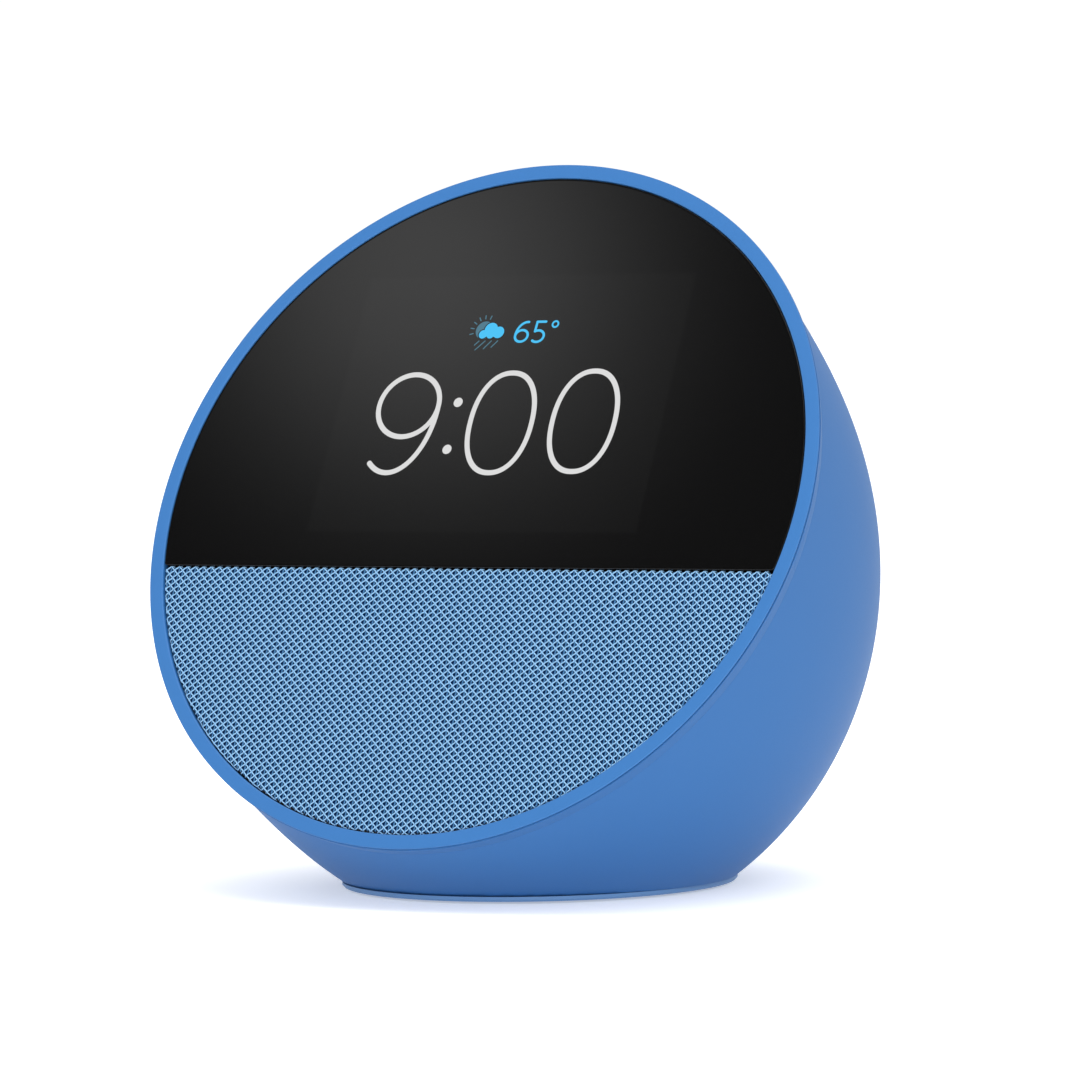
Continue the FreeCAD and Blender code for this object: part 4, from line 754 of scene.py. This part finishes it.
fluff = add_node(yarn, "ShaderNodeTexNoise", {"Vector": yarn_place, "Scale": 9000.0, "Detail": 2.0})
relief = add_node(yarn, "ShaderNodeMath", {0: fluff.outputs["Fac"], 1: 0.5, 2: ply.outputs[0]},
                  operation="MULTIPLY_ADD")
# Painted shade: the colour is darkened where the relief is low, in the grooves between the plies, with a
# random tone from the fluff.
shade = add_node(yarn, "ShaderNodeMapRange", {"Value": relief.outputs[0], "From Min": 0.2, "From Max": 1.1,
                                              "To Min": given["Shade"], "To Max": 1.0})
tinted = add_node(yarn, "ShaderNodeVectorMath", {0: given["Color"], "Scale": shade.outputs[0]},
                  operation="SCALE")
yarn.links.new(tinted.outputs[0], made["Color"])
yarn_bump = add_node(yarn, "ShaderNodeBump",
                     {"Height": relief.outputs[0], "Strength": 0.5, "Distance": 0.00004})
yarn.links.new(yarn_bump.outputs[0], made["Normal"])


def spun(name, colour, shade):
    """A matt synthetic yarn in one colour with the twist of its plies; shade sets how dark the painted shade
    in the grooves between the plies gets.
    """
    material, shader = principled(name, colour, 0.70, Sheen_Weight=0.06, Sheen_Roughness=0.4,
                                  Specular_IOR_Level=0.2)
    finish = add_node(material.node_tree, "ShaderNodeGroup", node_tree=yarn)
    finish.inputs["Color"].default_value = (*colour, 1.0)
    finish.inputs["Shade"].default_value = shade
    material.node_tree.links.new(finish.outputs["Color"], shader.inputs["Base Color"])
    material.node_tree.links.new(finish.outputs["Normal"], shader.inputs["Normal"])
    return material


light_yarn = spun("light_blue_yarn", (0.27, 0.51, 0.78), 0.80)
mid_yarn = spun("mid_blue_yarn", (0.055, 0.20, 0.42), 0.60)
COLUMNS = int(np.ceil(2.0 * CLOTH_RADIUS / NET_WIDE)) + 1
between = np.arange(-COLUMNS, COLUMNS) + 0.5
for name, columns, waver, depth, swell, wide, thick, steps, sides, material in (
        ("cloth_yarns_even", between[::2], 0.27, 0.0, 0.03, 0.20, 0.20, 8, 5, light_yarn),
        ("cloth_yarns_odd", between[1::2], 0.27, 0.0, -0.03, 0.20, 0.20, 8, 5, light_yarn),
        ("cloth_yarns_behind", between + 0.5, 0.03, -0.15, 0.0, 0.30, 0.12, 4, 4, mid_yarn)):
    points, faces, corner_uv = yarns(columns, waver, depth, swell, wide, thick, steps, sides)
    new_piece(name, points, faces, material, "cloth", corner_uv=corner_uv, crease=180.0)

scrim_outline = cut_disc(CLOTH_RADIUS, CLOTH_HIGH, CLOTH_CORNER, below=True)
SCRIM_LOW, SCRIM_HALF = -0.30, 0.04
SCRIM_MIDDLE, SCRIM_REACH = np.array((0.0, -33.0)), 38.0
scrim_core, scrim_way = scrim_outline
scrim_insets = (30.0, 15.0, 5.0, 0.42, *-np.linspace(-0.3, 0.45, 6))
scrim_rows = []
for inset, side in ([(inset, 1.0) for inset in scrim_insets]
                    + [(inset, -1.0) for inset in scrim_insets[::-1]]):
    shrink = min(inset, CLOTH_CORNER) if inset > 0 else inset
    pull = max(inset - CLOTH_CORNER, 0.0)
    core = scrim_core + (SCRIM_MIDDLE - scrim_core) * (pull / SCRIM_REACH)
    flat = core + (CLOTH_CORNER - shrink) * scrim_way
    place_, _, _ = cloth_place(flat[:, 0], flat[:, 1], np.full(len(flat), SCRIM_LOW + SCRIM_HALF * side))
    scrim_rows.append(on_front(*place_.T))
navy = moulded("navy_scrim", (0.0010, 0.021, 0.080), 0.9, scale=3000.0, depth=0.3, Specular_IOR_Level=0.1)
scrim = new_piece("cloth_scrim", *skin(np.stack(scrim_rows)), navy, "cloth", crease=60.0)
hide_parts("grille_cloth")

# ---------------------------------------------------------------- base plate and foot
# The base plate closes the shell's flat underside and shows as a thin paler rim, and a
# rubber ring pressed into it keeps the display from sliding.
base_blue = moulded("base_blue", (0.085, 0.20, 0.40), 0.55, scale=5200.0, depth=0.08)
for node, material in (("base_plate", base_blue),
                       ("rubber_foot", moulded("grey_rubber", (0.045, 0.048, 0.052), 0.8, 2600.0, 0.35))):
    NODES[node].data.materials.clear()
    NODES[node].data.materials.append(material)

# ---------------------------------------------------------------- buttons
# Three round caps stand a little proud of the shell behind the front, and follow its curve.
# Each has its sign printed in a paler blue: less, mute and more.
CAP_RADIUS, CAP_PROUD, CAP_ROUND, CAP_DEEP = 4.75, 0.35, 0.35, 3.4
SIGN_HALF = 0.19
cap_blue = moulded("button_blue", (0.056, 0.180, 0.440), 0.5, scale=5200.0, depth=0.05, mottle=0.03,
                   Specular_IOR_Level=0.35)
sign_pale = moulded("sign_pale_blue", (0.52, 0.68, 0.88), 0.5, depth=0.05)


def button(name, x, signs):
    """A cap: rings at rising radius on the shell's curve, their edge rounded by a quarter circle, then a
    straight side; and its sign, as thin lines that lie on it."""
    angle = np.linspace(0.0, 2.0 * np.pi, 96, endpoint=False)
    turn = np.linspace(0.0, 0.5 * np.pi, 7)
    radius = np.concatenate((np.linspace(0.15, CAP_RADIUS - CAP_ROUND, 9), (CAP_RADIUS - CAP_ROUND)
                             + CAP_ROUND * np.sin(turn[1:])))
    lift = np.concatenate((np.full(9, CAP_PROUD), CAP_PROUD - CAP_ROUND * (1 - np.cos(turn[1:]))))
    across, up = radius[:, None] * np.cos(angle) + x, radius[:, None] * np.sin(angle)
    high_ = shell_height(across, up, on_keys, lift[:, None])
    rings = np.concatenate((on_keys(across, up, high_),
                            on_keys(across[-1], up[-1], np.full(96, -CAP_DEEP))[None]))
    cap = new_piece(f"{name}_cap", *skin(rings), cap_blue, "button", body=name)
    parts = []
    for path, closed in signs:
        left, right_ = stroke(np.asarray(path) + (x, 0.0), SIGN_HALF, closed)
        rows = []
        for edge, out in ((left, 0.02), (right_, 0.02), (right_, -0.02), (left, -0.02)):
            rows.append(on_keys(*edge.T, shell_height(*edge.T, on_keys, CAP_PROUD + out)))
        parts.append(skin(np.stack(rows, axis=1), joined=closed))
    new_piece(f"{name}_sign", *merge(parts), sign_pale, "button", body=name, crease=60.0)
    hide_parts(f"{name}_button")


def straight(x0, y0, x1, y1, count=9):
    """Points along a straight line."""
    return np.stack((np.linspace(x0, x1, count), np.linspace(y0, y1, count)), axis=-1)


bar = straight(-1.6, 0.0, 1.6, 0.0)
button("volume_down", -KEY_PITCH, [(bar, False)])
button("volume_up", KEY_PITCH, [(bar, False), (straight(0.0, 0.25, 0.0, 1.6), False),
                                (straight(0.0, -0.25, 0.0, -1.6), False)])
button("mic_mute", 0.0, [(arc((0.0, 0.0), (1.7, 1.7), 0.0, 360.0, 64)[:-1], True),
                         (straight(-1.05, -1.05, 1.05, 1.05), False)])

# ---------------------------------------------------------------- inner pieces
# Everything behind the front and inside the shell keeps its made shape and gets the finish
# of what it is: bare and plated metal, board, chips, wire, paper, foam and rubber.
SLOT_FINISH = {
    "foam": moulded("black_foam", (0.016, 0.016, 0.018), 0.95, 2500.0, 0.9),
    "black_plastic": moulded("black_plastic", (0.014, 0.014, 0.016), 0.5, 5200.0, 0.1),
    "lcd": moulded("panel_glass", (0.02, 0.021, 0.024), 0.18, 5200.0, 0.0),
    "white_plastic": moulded("white_plastic", (0.78, 0.79, 0.80), 0.45, 5200.0, 0.08),
    "board": moulded("green_board", (0.012, 0.085, 0.045), 0.42, 900.0, 0.25, 0.5),
    "chip": moulded("black_chip", (0.02, 0.02, 0.021), 0.6, 6000.0, 0.2),
    "steel": moulded("plain_steel", (0.55, 0.55, 0.56), 0.34, 1800.0, 0.12, Metallic=1.0),
    "tinned_steel": moulded("tinned_steel", (0.72, 0.72, 0.71), 0.25, 1500.0, 0.1, Metallic=1.0),
    "aluminium": moulded("cast_aluminium", (0.70, 0.71, 0.73), 0.42, 2200.0, 0.25, Metallic=1.0),
    "ferrite": moulded("black_ferrite", (0.035, 0.034, 0.036), 0.7, 3500.0, 0.4),
    "paper": moulded("black_paper", (0.03, 0.03, 0.031), 0.85, 1700.0, 0.6, 0.3),
    "rubber": moulded("black_rubber", (0.022, 0.022, 0.024), 0.75, 2600.0, 0.3),
    "wire": moulded("red_wire", (0.42, 0.02, 0.018), 0.45, 3000.0, 0.1),
    "flex": moulded("amber_flex", (0.55, 0.20, 0.03), 0.35, 2000.0, 0.1, 0.3),
    "copper": moulded("copper", (0.83, 0.42, 0.24), 0.3, 2500.0, 0.15, Metallic=1.0),
    "shell": satin_blue, "bezel": ring_blue, "glass": black_glass, "cloth": navy, "button": cap_blue,
}
done = {"base_plate", "rubber_foot"}
node_slot = {row["node"]: row["material_slot"] for row in frame["record"]["subparts"]}
for name, holder in NODES.items():
    if name in done:
        continue
    holder.data.materials.clear()
    holder.data.materials.append(SLOT_FINISH[node_slot[name]])
